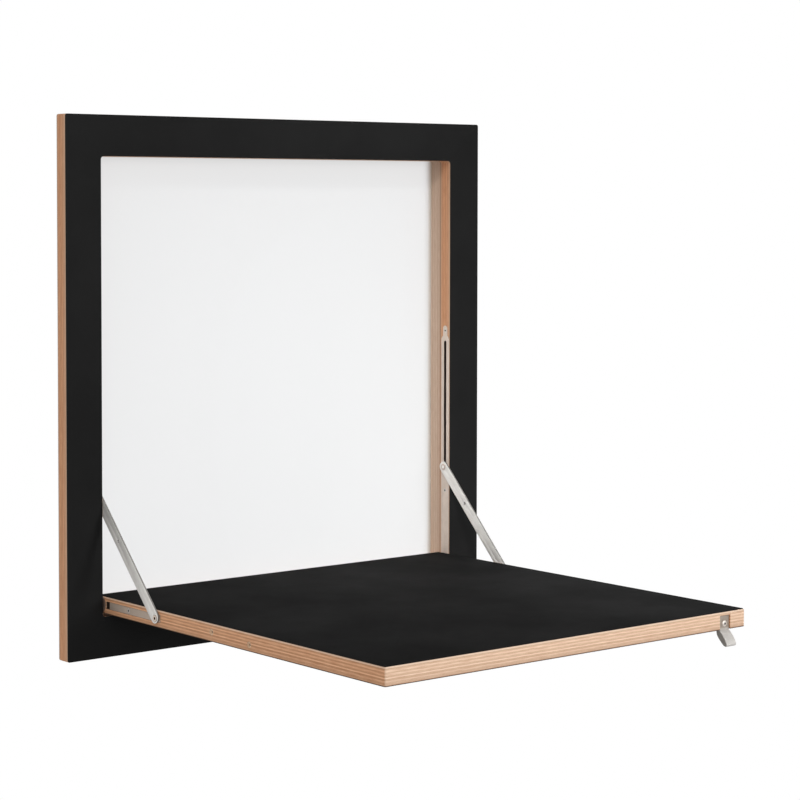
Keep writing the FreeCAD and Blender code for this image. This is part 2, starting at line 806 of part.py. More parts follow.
def make_leaf_fittings():
    """Bushes, stay plates and holding magnets in the two sides of the leaf."""
    bush = turned(
        "bush_blank",
        "-x",
        ("places.leaf_side + sizes.bush_flange_thickness", "places.hinge_depth", "places.hinge_height"),
        [
            ("sizes.bush_flange_radius", "sizes.bush_flange_radius", "sizes.bush_flange_thickness"),
            ("places.bush_radius", "places.bush_radius", "sizes.bush_length"),
        ],
    )
    bore = rod(
        "bush_inside",
        "-x",
        "sizes.hinge_pin_radius + sizes.turning_fit",
        (
            "places.leaf_side + sizes.bush_flange_thickness + sizes.overrun",
            "places.hinge_depth",
            "places.hinge_height",
        ),
        "sizes.overrun + sizes.bush_flange_thickness + sizes.bush_length + sizes.overrun",
    )
    keep_pair(cut("bush_cut", bush, [bore]), "hinge_bush")

    half_plate = "sizes.plate_height / 2"
    plate = block(
        "plate_blank",
        ("places.plate_back", "places.leaf_side"),
        ("places.plate_front", "places.plate_rear"),
        (f"places.hinge_height - {half_plate}", f"places.hinge_height + {half_plate}"),
    )
    rivet_hole = rod(
        "plate_rivet_hole",
        "-x",
        "sizes.rivet_radius + sizes.turning_fit",
        ("places.leaf_side + sizes.overrun", "places.rivet_place", "places.hinge_height"),
        "sizes.plate_thickness + 2 * sizes.overrun",
    )
    holes = screw_holes("plate_hole", "-x", plate_screw_starts, "small")
    keep_pair(cut("plate_cut", plate, [rivet_hole] + holes), "stay_plate")
    plate_screws = screws("plate_screw", "-x", plate_screw_starts, "small")
    keep_pair(group("plate_screw_group", plate_screws), "stay_plate_screws")

    magnets = []
    for name, centre in MAGNET_CENTRES:
        face = "places.leaf_side - sizes.magnet_recess"
        body = rod(f"magnet_{name}", "-x", "sizes.magnet_radius", (face,) + centre, "sizes.magnet_length")
        hollow = rod(
            f"magnet_hollow_{name}",
            "-x",
            "sizes.magnet_radius - sizes.cup_wall",
            (f"{face} + sizes.overrun",) + centre,
            "sizes.overrun + sizes.cup_depth",
        )
        magnets.append(cut(f"magnet_cup_{name}", body, [hollow]))
    keep_pair(group("magnet_group", magnets), "holding_magnets")


# The curved outline of the finger pull, from its front down round the tip and up its back,
# as shares of its reach in front of the leaf and of its drop below the leaf
PULL_OUTLINE_SHARES = [
    (0.04, 0.1),
    (0.33, 0.26),
    (0.56, 0.41),
    (0.78, 0.58),
    (0.95, 0.76),
    (0.99, 0.9),
    (0.87, 0.985),
    (0.64, 0.99),
    (0.27, 0.86),
    (0.05, 0.74),
    (-0.17, 0.62),
    (-0.35, 0.5),
    (-0.53, 0.36),
    (-0.62, 0.2),
]


def make_finger_pull():
    """A cast pull, screwed into a notch of the leaf's front edge and curving down and forward."""
    left = -size("pull_width") / 2
    seat = -size("pull_seat_gap")
    plate_back = size("notch_depth")
    plate_front = plate_back - size("pull_plate_thickness")
    plate_top = size("pull_plate_height")
    top_back = FreeCAD.Vector(left, plate_back, plate_top)
    top_front = FreeCAD.Vector(left, plate_front, plate_top)
    bend = FreeCAD.Vector(left, plate_front, seat)
    heel = FreeCAD.Vector(left, plate_back + size("pull_heel"), seat)
    inner = FreeCAD.Vector(left, plate_back, seat)
    curved = [
        FreeCAD.Vector(left, -forward * size("pull_reach"), seat - down * size("pull_drop"))
        for forward, down in PULL_OUTLINE_SHARES
    ]
    curve = Part.BSplineCurve()
    curve.interpolate([bend] + curved + [heel])
    corners = [heel, inner, top_back, top_front, bend]
    straight = [Part.LineSegment(first, last).toShape() for first, last in zip(corners, corners[1:])]
    outline = Part.Wire([curve.toShape()] + straight)
    solid = Part.Face(outline).extrude(FreeCAD.Vector(size("pull_width"), 0, 0))
    flat_side = size("pull_width") / 2 - size("pull_edge_radius")
    bent = [
        edge
        for edge in solid.Edges
        if edge.Curve.TypeId == "Part::GeomBSplineCurve" and abs(edge.CenterOfMass.x) > flat_side
    ]
    solid = solid.makeFillet(size("pull_edge_radius"), bent)
    hole = Part.makeCylinder(
        size("pan_shank_radius") + size("screw_fit"),
        size("pull_plate_thickness") + 2 * size("overrun"),
        FreeCAD.Vector(0, plate_front - size("overrun"), size("pull_screw_height")),
        FreeCAD.Vector(0, 1, 0),
    )
    pull = doc.addObject("Part::Feature", "finger_pull_cast")
    pull.Shape = solid.cut(hole)
    under_edge = FreeCAD.Vector(place("pull_middle"), place("leaf_front"), place("leaf_underside"))
    pull.Placement = FreeCAD.Placement(under_edge, FreeCAD.Rotation())
    keep(pull, "finger_pull")

    screw_body = turned(
        "pull_screw_blank",
        "+y",
        (
            "places.pull_middle",
            "places.pull_plate_front - sizes.pan_head_thickness",
            "places.pull_screw_place",
        ),
        [
            ("sizes.pan_head_radius", "sizes.pan_head_radius", "sizes.pan_head_thickness"),
            (
                "sizes.pan_shank_radius",
                "sizes.pan_shank_radius",
                "sizes.pan_length - sizes.small_tip_length",
            ),
            ("sizes.pan_shank_radius", "0", "sizes.small_tip_length"),
        ],
    )
    keep(screw_body, "finger_pull_screw")


def make_sliders():
    """The headed pins that run in the slots, each with a washer between rail and arm."""
    guide = "places.rail_back + sizes.flat_gap"
    shank = f"({guide}) - (places.arm_inner - sizes.flat_gap)"
    pin = turned(
        "slider_pin_blank",
        "-x",
        (f"{guide} + sizes.guide_thickness", "places.hinge_depth", "places.slider_height"),
        [
            ("sizes.guide_radius", "sizes.guide_radius", "sizes.guide_thickness"),
            ("sizes.slider_radius", "sizes.slider_radius", shank),
            ("sizes.pin_head_radius", "sizes.pin_head_radius", "sizes.pin_head_thickness"),
        ],
    )
    keep_pair(pin, "slider_pin")
    start = ("places.washer_inner", "places.hinge_depth", "places.slider_height")
    disc = rod("washer_blank", "+x", "sizes.washer_radius", start, "sizes.washer_thickness")
    hole_start = ("places.washer_inner - sizes.overrun", "places.hinge_depth", "places.slider_height")
    hole = rod(
        "washer_hole",
        "+x",
        "sizes.slider_radius + sizes.turning_fit",
        hole_start,
        "sizes.washer_thickness + 2 * sizes.overrun",
    )
    keep_pair(cut("washer_cut", disc, [hole]), "slider_washer")


# Sets the axis that the arm is turned about, before its own rule gives the angle
SOME_ANGLE = 45


def make_stay_arms():
    """The flat stays, drawn upright below their slider pivot and then swung out to the leaf."""
    thick = ("places.arm_inner", "places.arm_outer")
    through = "sizes.arm_thickness + 2 * sizes.overrun"
    low_end = "sizes.arm_end_setback - sizes.stay_length"
    blank = stadium("arm_blank", "sizes.arm_width / 2", thick, "0", (low_end, "0"))
    holes = [
        rod(f"arm_hole_{name}", "+x", radius, ("places.arm_inner - sizes.overrun", "0", height), through)
        for name, radius, height in (
            ("slider", "sizes.slider_radius + sizes.turning_fit", "0"),
            ("middle", "sizes.arm_hole_radius", "-sizes.arm_hole_distance"),
            ("rivet", "sizes.rivet_radius + sizes.turning_fit", "-sizes.stay_length"),
        )
    ]
    arm = cut("arm_cut", blank, holes)
    swing = FreeCAD.Rotation(FreeCAD.Vector(-1, 0, 0), SOME_ANGLE)
    arm.Placement = FreeCAD.Placement(FreeCAD.Vector(), swing)
    arm.setExpression("Placement.Rotation.Angle", "asin(sizes.stay_offset / sizes.stay_length)")
    arm.setExpression("Placement.Base.y", "places.hinge_depth")
    arm.setExpression("Placement.Base.z", "places.slider_height")
    keep_pair(arm, "stay_arm")

    rivet = turned(
        "rivet_blank",
        "-x",
        ("places.arm_outer + sizes.rivet_head_thickness", "places.rivet_place", "places.hinge_height"),
        [
            ("sizes.rivet_head_radius", "sizes.rivet_head_radius", "sizes.rivet_head_thickness"),
            ("sizes.rivet_radius", "sizes.rivet_radius", "sizes.arm_thickness"),
            ("sizes.rivet_head_radius", "sizes.rivet_head_radius", "sizes.pin_head_thickness"),
        ],
    )
    bore = rod(
        "rivet_bore",
        "-x",
        "sizes.rivet_bore_radius",
        (
            "places.arm_outer + sizes.rivet_head_thickness + sizes.overrun",
            "places.rivet_place",
            "places.hinge_height",
        ),
        "sizes.arm_thickness + sizes.rivet_head_thickness + sizes.pin_head_thickness + 2 * sizes.overrun",
    )
    keep_pair(cut("rivet_cut", rivet, [bore]), "stay_rivet")


rear_holes = make_front_board()
make_rear_frame(rear_holes)
make_hanging_rails()
make_stay_rails()
make_leaf()
make_leaf_fittings()
make_finger_pull()
make_sliders()
make_stay_arms()
doc.recompute()

for item in doc.Objects:
    if "Invalid" in item.State or "Error" in item.State:
        raise RuntimeError(f"{item.Name} could not be worked out")
for piece in pieces:
    if piece.Shape.isNull() or not piece.Shape.isValid() or not piece.Shape.Solids:
        raise RuntimeError(f"{piece.Label} has no valid solid")
    piece.Shape.exportStep(f"parts/{piece.Label}.step")
print(len(pieces), "pieces written")
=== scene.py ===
"""Looks of a wall table whose leaf folds down out of a square plywood frame."""

import json
import logging
import math
from collections.abc import Callable, Iterator, Mapping, Sequence
from contextlib import contextmanager
from dataclasses import dataclass
from enum import Enum
from typing import Any

import bmesh
import bpy
from mathutils import Matrix, Vector

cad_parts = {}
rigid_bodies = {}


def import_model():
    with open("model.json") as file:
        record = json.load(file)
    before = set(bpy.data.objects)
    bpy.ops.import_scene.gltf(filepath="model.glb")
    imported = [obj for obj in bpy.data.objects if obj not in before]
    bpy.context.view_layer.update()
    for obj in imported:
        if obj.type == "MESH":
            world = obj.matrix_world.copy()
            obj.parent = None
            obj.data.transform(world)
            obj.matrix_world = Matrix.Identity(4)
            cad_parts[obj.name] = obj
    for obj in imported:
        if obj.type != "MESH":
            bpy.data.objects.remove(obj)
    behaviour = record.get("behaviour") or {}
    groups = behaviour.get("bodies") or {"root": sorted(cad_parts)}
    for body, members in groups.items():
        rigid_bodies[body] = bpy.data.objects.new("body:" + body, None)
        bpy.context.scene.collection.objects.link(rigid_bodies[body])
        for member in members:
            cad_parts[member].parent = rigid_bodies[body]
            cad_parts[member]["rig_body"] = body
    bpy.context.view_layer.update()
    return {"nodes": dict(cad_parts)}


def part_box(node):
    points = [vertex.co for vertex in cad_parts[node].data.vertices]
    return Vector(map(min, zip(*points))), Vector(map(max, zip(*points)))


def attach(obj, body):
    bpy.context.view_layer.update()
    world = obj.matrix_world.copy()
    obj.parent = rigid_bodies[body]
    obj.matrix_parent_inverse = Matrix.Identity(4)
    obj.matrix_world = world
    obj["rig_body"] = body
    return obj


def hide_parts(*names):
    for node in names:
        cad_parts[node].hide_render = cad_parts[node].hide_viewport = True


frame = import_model()

MM = 0.001
WELD_DISTANCE = 0.002 * MM
FLAT_ANGLE = math.radians(0.4)
SHARP_ANGLE = math.radians(40)
SMOOTH_ANGLE = math.radians(32)
NEAR = 0.05 * MM
TABLE_MIDDLE = (0.0, -0.31, -0.32)
# The crosses in a row of screws are turned by these degrees, at first and from one to the next.
FIRST_TWIST, NEXT_TWIST = 17, 31

Point = tuple[float, float, float]
Colour = tuple[float, float, float, float]
Profile = Sequence[tuple[float, float]]

log = logging.getLogger("folding_table")


class Across(Enum):
    """The axis of the model that a board or sheet lies across, by its number."""

    DEPTH = 1
    HEIGHT = 2

    @property
    def direction(self) -> tuple[float, ...]:
        """The axis as a unit vector."""
        return tuple(float(number == self.value) for number in range(3))


class Shaping(Enum):
    """What one closed mesh does to another, in Blender's words."""

    JOIN = "UNION"
    CUT = "DIFFERENCE"


class Facing(Enum):
    """Which way the head of a fastener looks."""

    TO_LEFT = (-1, 0, 0)
    TO_RIGHT = (1, 0, 0)
    TO_WALL = (0, 1, 0)
    TO_ROOM = (0, -1, 0)

    def turn(self) -> Matrix:
        """The rotation that brings a fastener's own Z axis round to this direction."""
        return Vector((0, 0, 1)).rotation_difference(Vector(self.value)).to_matrix().to_4x4()


class Side(Enum):
    """The two sides of the table, by the words that end the names of their pieces."""

    LEFT = "left"
    RIGHT = "right"

    @property
    def inward(self) -> Facing:
        """The direction towards the table's middle."""
        return Facing.TO_LEFT if self is Side.RIGHT else Facing.TO_RIGHT

    @property
    def outward(self) -> Facing:
        """The direction away from the table's middle."""
        return Facing.TO_RIGHT if self is Side.RIGHT else Facing.TO_LEFT


@dataclass(frozen=True)
class Solid:
    """The box of one separate solid of a CAD node at rest."""

    low: Vector
    high: Vector

    @property
    def middle(self) -> Vector:
        """The middle of the box."""
        return (self.low + self.high) / 2

    def face(self, facing: Facing) -> Vector:
        """Find the middle of the side that looks a given way.

        Args:
            facing: The way that the side looks.

        Returns:
            The middle of that side.
        """
        outward = Vector(facing.value)
        reach = (self.high - self.low) / 2
        return self.middle + Vector(part * span for part, span in zip(outward, reach))

    def depth(self, facing: Facing) -> float:
        """How long the solid is along a direction."""
        return abs((self.high - self.low).dot(Vector(facing.value)))

    def radius(self, facing: Facing) -> float:
        """How far a round solid reaches from its axis."""
        spans = [span for span, part in zip(self.high - self.low, facing.value) if not part]
        return min(spans) / 2


def srgb(red: float, green: float, blue: float) -> Colour:
    """Turn a colour as a screen shows it into the linear values that shaders use.

    Args:
        red: Red, from 0 to 255.
        green: Green, from 0 to 255.
        blue: Blue, from 0 to 255.

    Returns:
        The same colour in linear values, with full opacity.
    """
    shares = (value / 255 for value in (red, green, blue))
    linear = [share / 12.92 if share <= 0.04045 else ((share + 0.055) / 1.055) ** 2.4 for share in shares]
    return (linear[0], linear[1], linear[2], 1.0)


def deselect_all() -> None:
    """Leave edit mode and select nothing."""
    if bpy.context.object and bpy.context.object.mode != "OBJECT":
        bpy.ops.object.mode_set(mode="OBJECT")
    bpy.ops.object.select_all(action="DESELECT")


def only(piece: bpy.types.Object) -> None:
    """Select one object alone and make it the active one.

    Args:
        piece: The object.
    """
    deselect_all()
    piece.select_set(True)
    bpy.context.view_layer.objects.active = piece


@contextmanager
def editing(piece: bpy.types.Object) -> Iterator[bpy.types.Object]:
    """Open an object in edit mode for a while, selected all over.

    Args:
        piece: The object.

    Yields:
        The same object.
    """
    only(piece)
    bpy.ops.object.mode_set(mode="EDIT")
    bpy.ops.mesh.select_all(action="SELECT")
    yield piece
    bpy.ops.object.mode_set(mode="OBJECT")


def select_alone(mesh: bmesh.types.BMesh, chosen: Sequence[Any]) -> None:
    """Leave only the chosen faces or edges of a mesh selected."""
    for part in (*mesh.faces, *mesh.edges, *mesh.verts):
        part.select = False
    for part in chosen:
        part.select_set(True)


def select_edges(piece: bpy.types.Object, wanted: Callable[[bmesh.types.BMEdge], bool]) -> None:
    """Narrow the selection in edit mode to the selected edges that pass a test.

    Args:
        piece: The object in edit mode.
        wanted: The test.
    """
    mesh = bmesh.from_edit_mesh(piece.data)
    select_alone(mesh, [edge for edge in mesh.edges if edge.select and wanted(edge)])
    bmesh.update_edit_mesh(piece.data)


def select_faces(piece: bpy.types.Object, wanted: Callable[[bmesh.types.BMFace], bool]) -> None:
    """Select the faces that pass a test, in edit mode.

    Args:
        piece: The object in edit mode.
        wanted: The test.
    """
    mesh = bmesh.from_edit_mesh(piece.data)
    select_alone(mesh, [face for face in mesh.faces if wanted(face)])
    bmesh.update_edit_mesh(piece.data)


def smooth(piece: bpy.types.Object) -> None:
    """Shade a piece smooth, except across its sharp edges."""
    only(piece)
    bpy.ops.object.shade_smooth_by_angle(angle=SMOOTH_ANGLE)


def solids_of(node: str) -> list[Solid]:
    """Find the separate solids of a CAD node, such as the single screws of a set.

    Args:
        node: The CAD node's name.

    Returns:
        The solids, in the order of their places.
    """
    mesh = bmesh.new()
    mesh.from_mesh(frame["nodes"][node].data)
    bmesh.ops.remove_doubles(mesh, verts=mesh.verts, dist=WELD_DISTANCE)
    waiting = set(mesh.verts)
    solids = []
    while waiting:
        reached = [waiting.pop()]
        for corner in reached:
            linked = {edge.other_vert(corner) for edge in corner.link_edges} & waiting
            waiting -= linked
            reached += linked
        spots = [corner.co for corner in reached]
        low = Vector(min(spot[axis] for spot in spots) for axis in range(3))
        high = Vector(max(spot[axis] for spot in spots) for axis in range(3))
        solids.append(Solid(low, high))
    mesh.free()
    return sorted(solids, key=lambda solid: tuple(solid.low))


def axes_of(node: str) -> tuple[Point, ...]:
    """The middles of a CAD node's solids, through which the axes of round ones run."""
    return tuple((solid.middle.x, solid.middle.y, solid.middle.z) for solid in solids_of(node))


@dataclass(frozen=True)
class Easing:
    """One pass of bevels over the sharp edges of a piece."""

    width: float
    wanted: Callable[[bmesh.types.BMEdge], bool] = lambda edge: True
    segments: int = 2


def eased_copy(node: str, name: str, passes: Sequence[Easing]) -> bpy.types.Object:
    """Copy a CAD node as a piece of its own with its sharp edges eased.

    Args:
        node: The CAD node to copy and to stand for.
        name: The new piece's name.
        passes: The bevels, the widest first.

    Returns:
        The piece, riding on the node's own body.
    """
    source = frame["nodes"][node]
    piece = bpy.data.objects.new(name, source.data.copy())
    bpy.context.scene.collection.objects.link(piece)
    with editing(piece):
        bpy.ops.mesh.customdata_custom_splitnormals_clear()
        bpy.ops.mesh.remove_doubles(threshold=WELD_DISTANCE)
        bpy.ops.mesh.dissolve_limited(angle_limit=FLAT_ANGLE)
        bpy.ops.mesh.select_mode(type="EDGE")
        for easing in passes:
            bpy.ops.mesh.select_all(action="DESELECT")
            bpy.ops.mesh.edges_select_sharp(sharpness=SHARP_ANGLE)
            select_edges(piece, easing.wanted)
            bpy.ops.mesh.bevel(
                offset=easing.width, segments=easing.segments, affect="EDGES", clamp_overlap=True
            )
    smooth(piece)
    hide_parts(node)
    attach(piece, source["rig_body"])
    return piece


def on_level(across: Across, level: float) -> Callable[[bmesh.types.BMEdge], bool]:
    """A test for the edges that lie in one plane across an axis."""
    return lambda edge: all(abs(corner.co[across.value] - level) < NEAR for corner in edge.verts)


def along_x(spots: Profile) -> Callable[[bmesh.types.BMEdge], bool]:
    """A test for the edges along X through any of the given spots, each a Y and a Z."""
    return lambda edge: any(
        all(math.hypot(corner.co.y - y, corner.co.z - z) < NEAR for corner in edge.verts)
        for y, z in spots
    )


def turned(name: str, profile: Profile, corners: int = 40, hollow: bool = False) -> bpy.types.Object:
    """Turn a piece about Z, by extruding and resizing a ring along a profile.

    Args:
        name: The piece's name.
        profile: Radius and height at each step, in metres.
        corners: The number of corners round the piece.
        hollow: Whether the profile comes back to its start, as round a tube's wall.

    Returns:
        The turned piece, at the origin.
    """
    radius, height = profile[0]
    fill = "NOTHING" if hollow else "NGON"
    deselect_all()
    bpy.ops.mesh.primitive_circle_add(vertices=corners, radius=radius, fill_type=fill)
    piece = bpy.context.object
    piece.name = name
    piece.data.transform(Matrix.Translation((0, 0, height)))
    steps = [*profile[1:], profile[0]] if hollow else profile[1:]
    with editing(piece):
        for new_radius, new_height in steps:
            rise = {"value": (0, 0, new_height - height)}
            if hollow:
                bpy.ops.mesh.extrude_edges_move(TRANSFORM_OT_translate=rise)
            else:
                bpy.ops.mesh.extrude_region_move(TRANSFORM_OT_translate=rise)
            share = new_radius / radius
            bpy.ops.transform.resize(value=(share, share, 1), center_override=(0, 0, new_height))
            radius, height = new_radius, new_height
        bpy.ops.mesh.select_all(action="SELECT")
        bpy.ops.mesh.remove_doubles(threshold=WELD_DISTANCE)
        bpy.ops.mesh.normals_make_consistent(inside=False)
    smooth(piece)
    return piece


def copies(pattern: bpy.types.Object, name: str, places: Sequence[Matrix]) -> bpy.types.Object:
    """Copy a modelled piece to several places and join the copies, each with its own mesh.

    Args:
        pattern: The piece modelled at the origin, which stays for later copies.
        name: The name of the joined piece.
        places: Where each copy goes.

    Returns:
        The joined piece, with its place in its mesh.
    """
    made = []
    for place in places:
        twin = bpy.data.objects.new(name, pattern.data.copy())
        bpy.context.scene.collection.objects.link(twin)
        twin.data.transform(place)
        made.append(twin)
    deselect_all()
    for twin in made:
        twin.select_set(True)
    bpy.context.view_layer.objects.active = made[0]
    if len(made) > 1:
        bpy.ops.object.join()
    made[0].name = name
    return made[0]


def remove(piece: bpy.types.Object) -> None:
    """Take a pattern or cutter out of the scene."""
    bpy.data.objects.remove(piece, do_unlink=True)


def shape_with(piece: bpy.types.Object, other: bpy.types.Object, shaping: Shaping) -> None:
    """Join one closed mesh to another or cut it out, with its material, and remove the other.

    Args:
        piece: The mesh that is changed.
        other: The mesh that it is joined to or cut with.
        shaping: Which of the two is done.
    """
    only(piece)
    modifier = piece.modifiers.new("boolean", "BOOLEAN")
    modifier.operation = shaping.value
    modifier.solver = "EXACT"
    modifier.material_mode = "TRANSFER"
    modifier.object = other
    bpy.ops.object.modifier_apply(modifier=modifier.name)
    remove(other)


class Wiring:
    """Adds nodes to one node tree and joins them up."""

    MIX_FACTOR, MIX_LOW, MIX_HIGH, MIX_RESULT = 0, 6, 7, 2

    def __init__(self, tree: bpy.types.NodeTree) -> None:
        """Work on a tree that already exists."""
        self.tree = tree

    def feed(self, socket: bpy.types.NodeSocket, value: Any) -> None:
        """Link a socket to an input, or set the input to a plain value.

        Args:
            socket: The input.
            value: The socket or the value that feeds it.
        """
        if isinstance(value, bpy.types.NodeSocket):
            self.tree.links.new(value, socket)
        else:
            socket.default_value = value

    def node(
        self, kind: str, inputs: Mapping[str | int, Any] | None = None, **settings: Any
    ) -> bpy.types.Node:
        """Add a node.

        Args:
            kind: Blender's name for the kind of node.
            inputs: Values or sockets for the node's inputs, by name or number.
            **settings: The node's other settings.

        Returns:
            The new node.
        """
        made = self.tree.nodes.new(kind)
        for key, value in settings.items():
            setattr(made, key, value)
        for key, value in (inputs or {}).items():
            self.feed(made.inputs[key], value)
        return made

    def math(self, operation: str, *values: Any) -> bpy.types.NodeSocket:
        """Work out one sum and return its result."""
        return self.node("ShaderNodeMath", dict(enumerate(values)), operation=operation).outputs[0]

    def vector_math(self, operation: str, *values: Any) -> bpy.types.Node:
        """Work out one sum of vectors and return its node."""
        return self.node("ShaderNodeVectorMath", dict(enumerate(values)), operation=operation)

    def group(self, kind: "GroupKind", inputs: Mapping[str, Any]) -> Any:
        """Add a shared effect, built when it is first asked for, and return its outputs."""
        tree = bpy.data.node_groups.get(kind.value) or GROUP_BUILDERS[kind]()
        return self.node("ShaderNodeGroup", inputs, node_tree=tree).outputs

    def mix(self, share: Any, low: Any, high: Any, blend: str = "MIX") -> bpy.types.NodeSocket:
        """Mix two colours.

        Args:
            share: How much of the second colour there is.
            low: The colour where the share is nought.
            high: The colour where the share is one.
            blend: Blender's name for the way they mix.

        Returns:
            The mixed colour.
        """
        inputs = {self.MIX_FACTOR: share, self.MIX_LOW: low, self.MIX_HIGH: high}
        made = self.node("ShaderNodeMix", inputs, data_type="RGBA", blend_type=blend)
        return made.outputs[self.MIX_RESULT]

    def ramp(
        self, value: Any, low: float, high: float, new_low: float, new_high: float
    ) -> bpy.types.NodeSocket:
        """Map a value from one span to another, held at both ends."""
        inputs = {0: value, 1: low, 2: high, 3: new_low, 4: new_high}
        return self.node("ShaderNodeMapRange", inputs).outputs[0]


class GroupKind(Enum):
    """The shared effects, each built once as a node group."""

    STREAKS = "long streaks"
    BOX_MASK = "inside a box"
    PLY_STACK = "plies on edge"
    HANDLING = "handling marks"


def open_group(
    kind: GroupKind, inputs: Mapping[str, str], outputs: Mapping[str, str]
) -> tuple[Wiring, Any, Any]:
    """Start a node group with named sockets.

    Args:
        kind: The effect that the group makes.
        inputs: The kind of socket for each input's name.
        outputs: The kind of socket for each output's name.

    Returns:
        The wiring of the group, its input node's outputs and its output node's inputs.
    """
    tree = bpy.data.node_groups.new(kind.value, "ShaderNodeTree")
    for in_out, sockets in (("INPUT", inputs), ("OUTPUT", outputs)):
        for name, socket in sockets.items():
            tree.interface.new_socket(name, in_out=in_out, socket_type=f"NodeSocket{socket}")
    wiring = Wiring(tree)
    return wiring, wiring.node("NodeGroupInput").outputs, wiring.node("NodeGroupOutput").inputs


def streaks_group() -> bpy.types.NodeTree:
    """Draw noise out along an axis, as wood fibres and brush lines are.

    Returns:
        The node group.
    """
    wiring, given, result = open_group(
        GroupKind.STREAKS,
        {"Position": "Vector", "Scale": "Vector", "Detail": "Float"},
        {"Mask": "Float"},
    )
    drawn = wiring.vector_math("MULTIPLY", given["Position"], given["Scale"]).outputs[0]
    noise = wiring.node("ShaderNodeTexNoise", {"Vector": drawn, "Scale": 1.0, "Detail": given["Detail"]})
    wiring.feed(result["Mask"], noise.outputs[0])
    return wiring.tree


def box_mask_group() -> bpy.types.NodeTree:
    """Put out one inside a box that is mirrored left and right, and nought outside it.

    Returns:
        The node group.
    """
    wiring, given, result = open_group(
        GroupKind.BOX_MASK,
        {"Position": "Vector", "Centre": "Vector", "Reach": "Vector", "Margin": "Float"},
        {"Mask": "Float"},
    )
    parts = wiring.node("ShaderNodeSeparateXYZ", {0: given["Position"]}).outputs
    both_sides = {0: wiring.math("ABSOLUTE", parts[0]), 1: parts[1], 2: parts[2]}
    mirrored = wiring.node("ShaderNodeCombineXYZ", both_sides)
    offset = wiring.vector_math("SUBTRACT", mirrored.outputs[0], given["Centre"]).outputs[0]
    away = wiring.vector_math("ABSOLUTE", offset).outputs[0]
    beyond = wiring.vector_math("SUBTRACT", away, given["Reach"]).outputs[0]
    spans = wiring.node("ShaderNodeSeparateXYZ", {0: beyond}).outputs
    furthest = wiring.math("MAXIMUM", wiring.math("MAXIMUM", spans[0], spans[1]), spans[2])
    depth = wiring.math("DIVIDE", wiring.math("MULTIPLY", furthest, -1.0), given["Margin"])
    wiring.feed(result["Mask"], wiring.ramp(depth, 0.0, 1.0, 0.0, 1.0))
    return wiring.tree


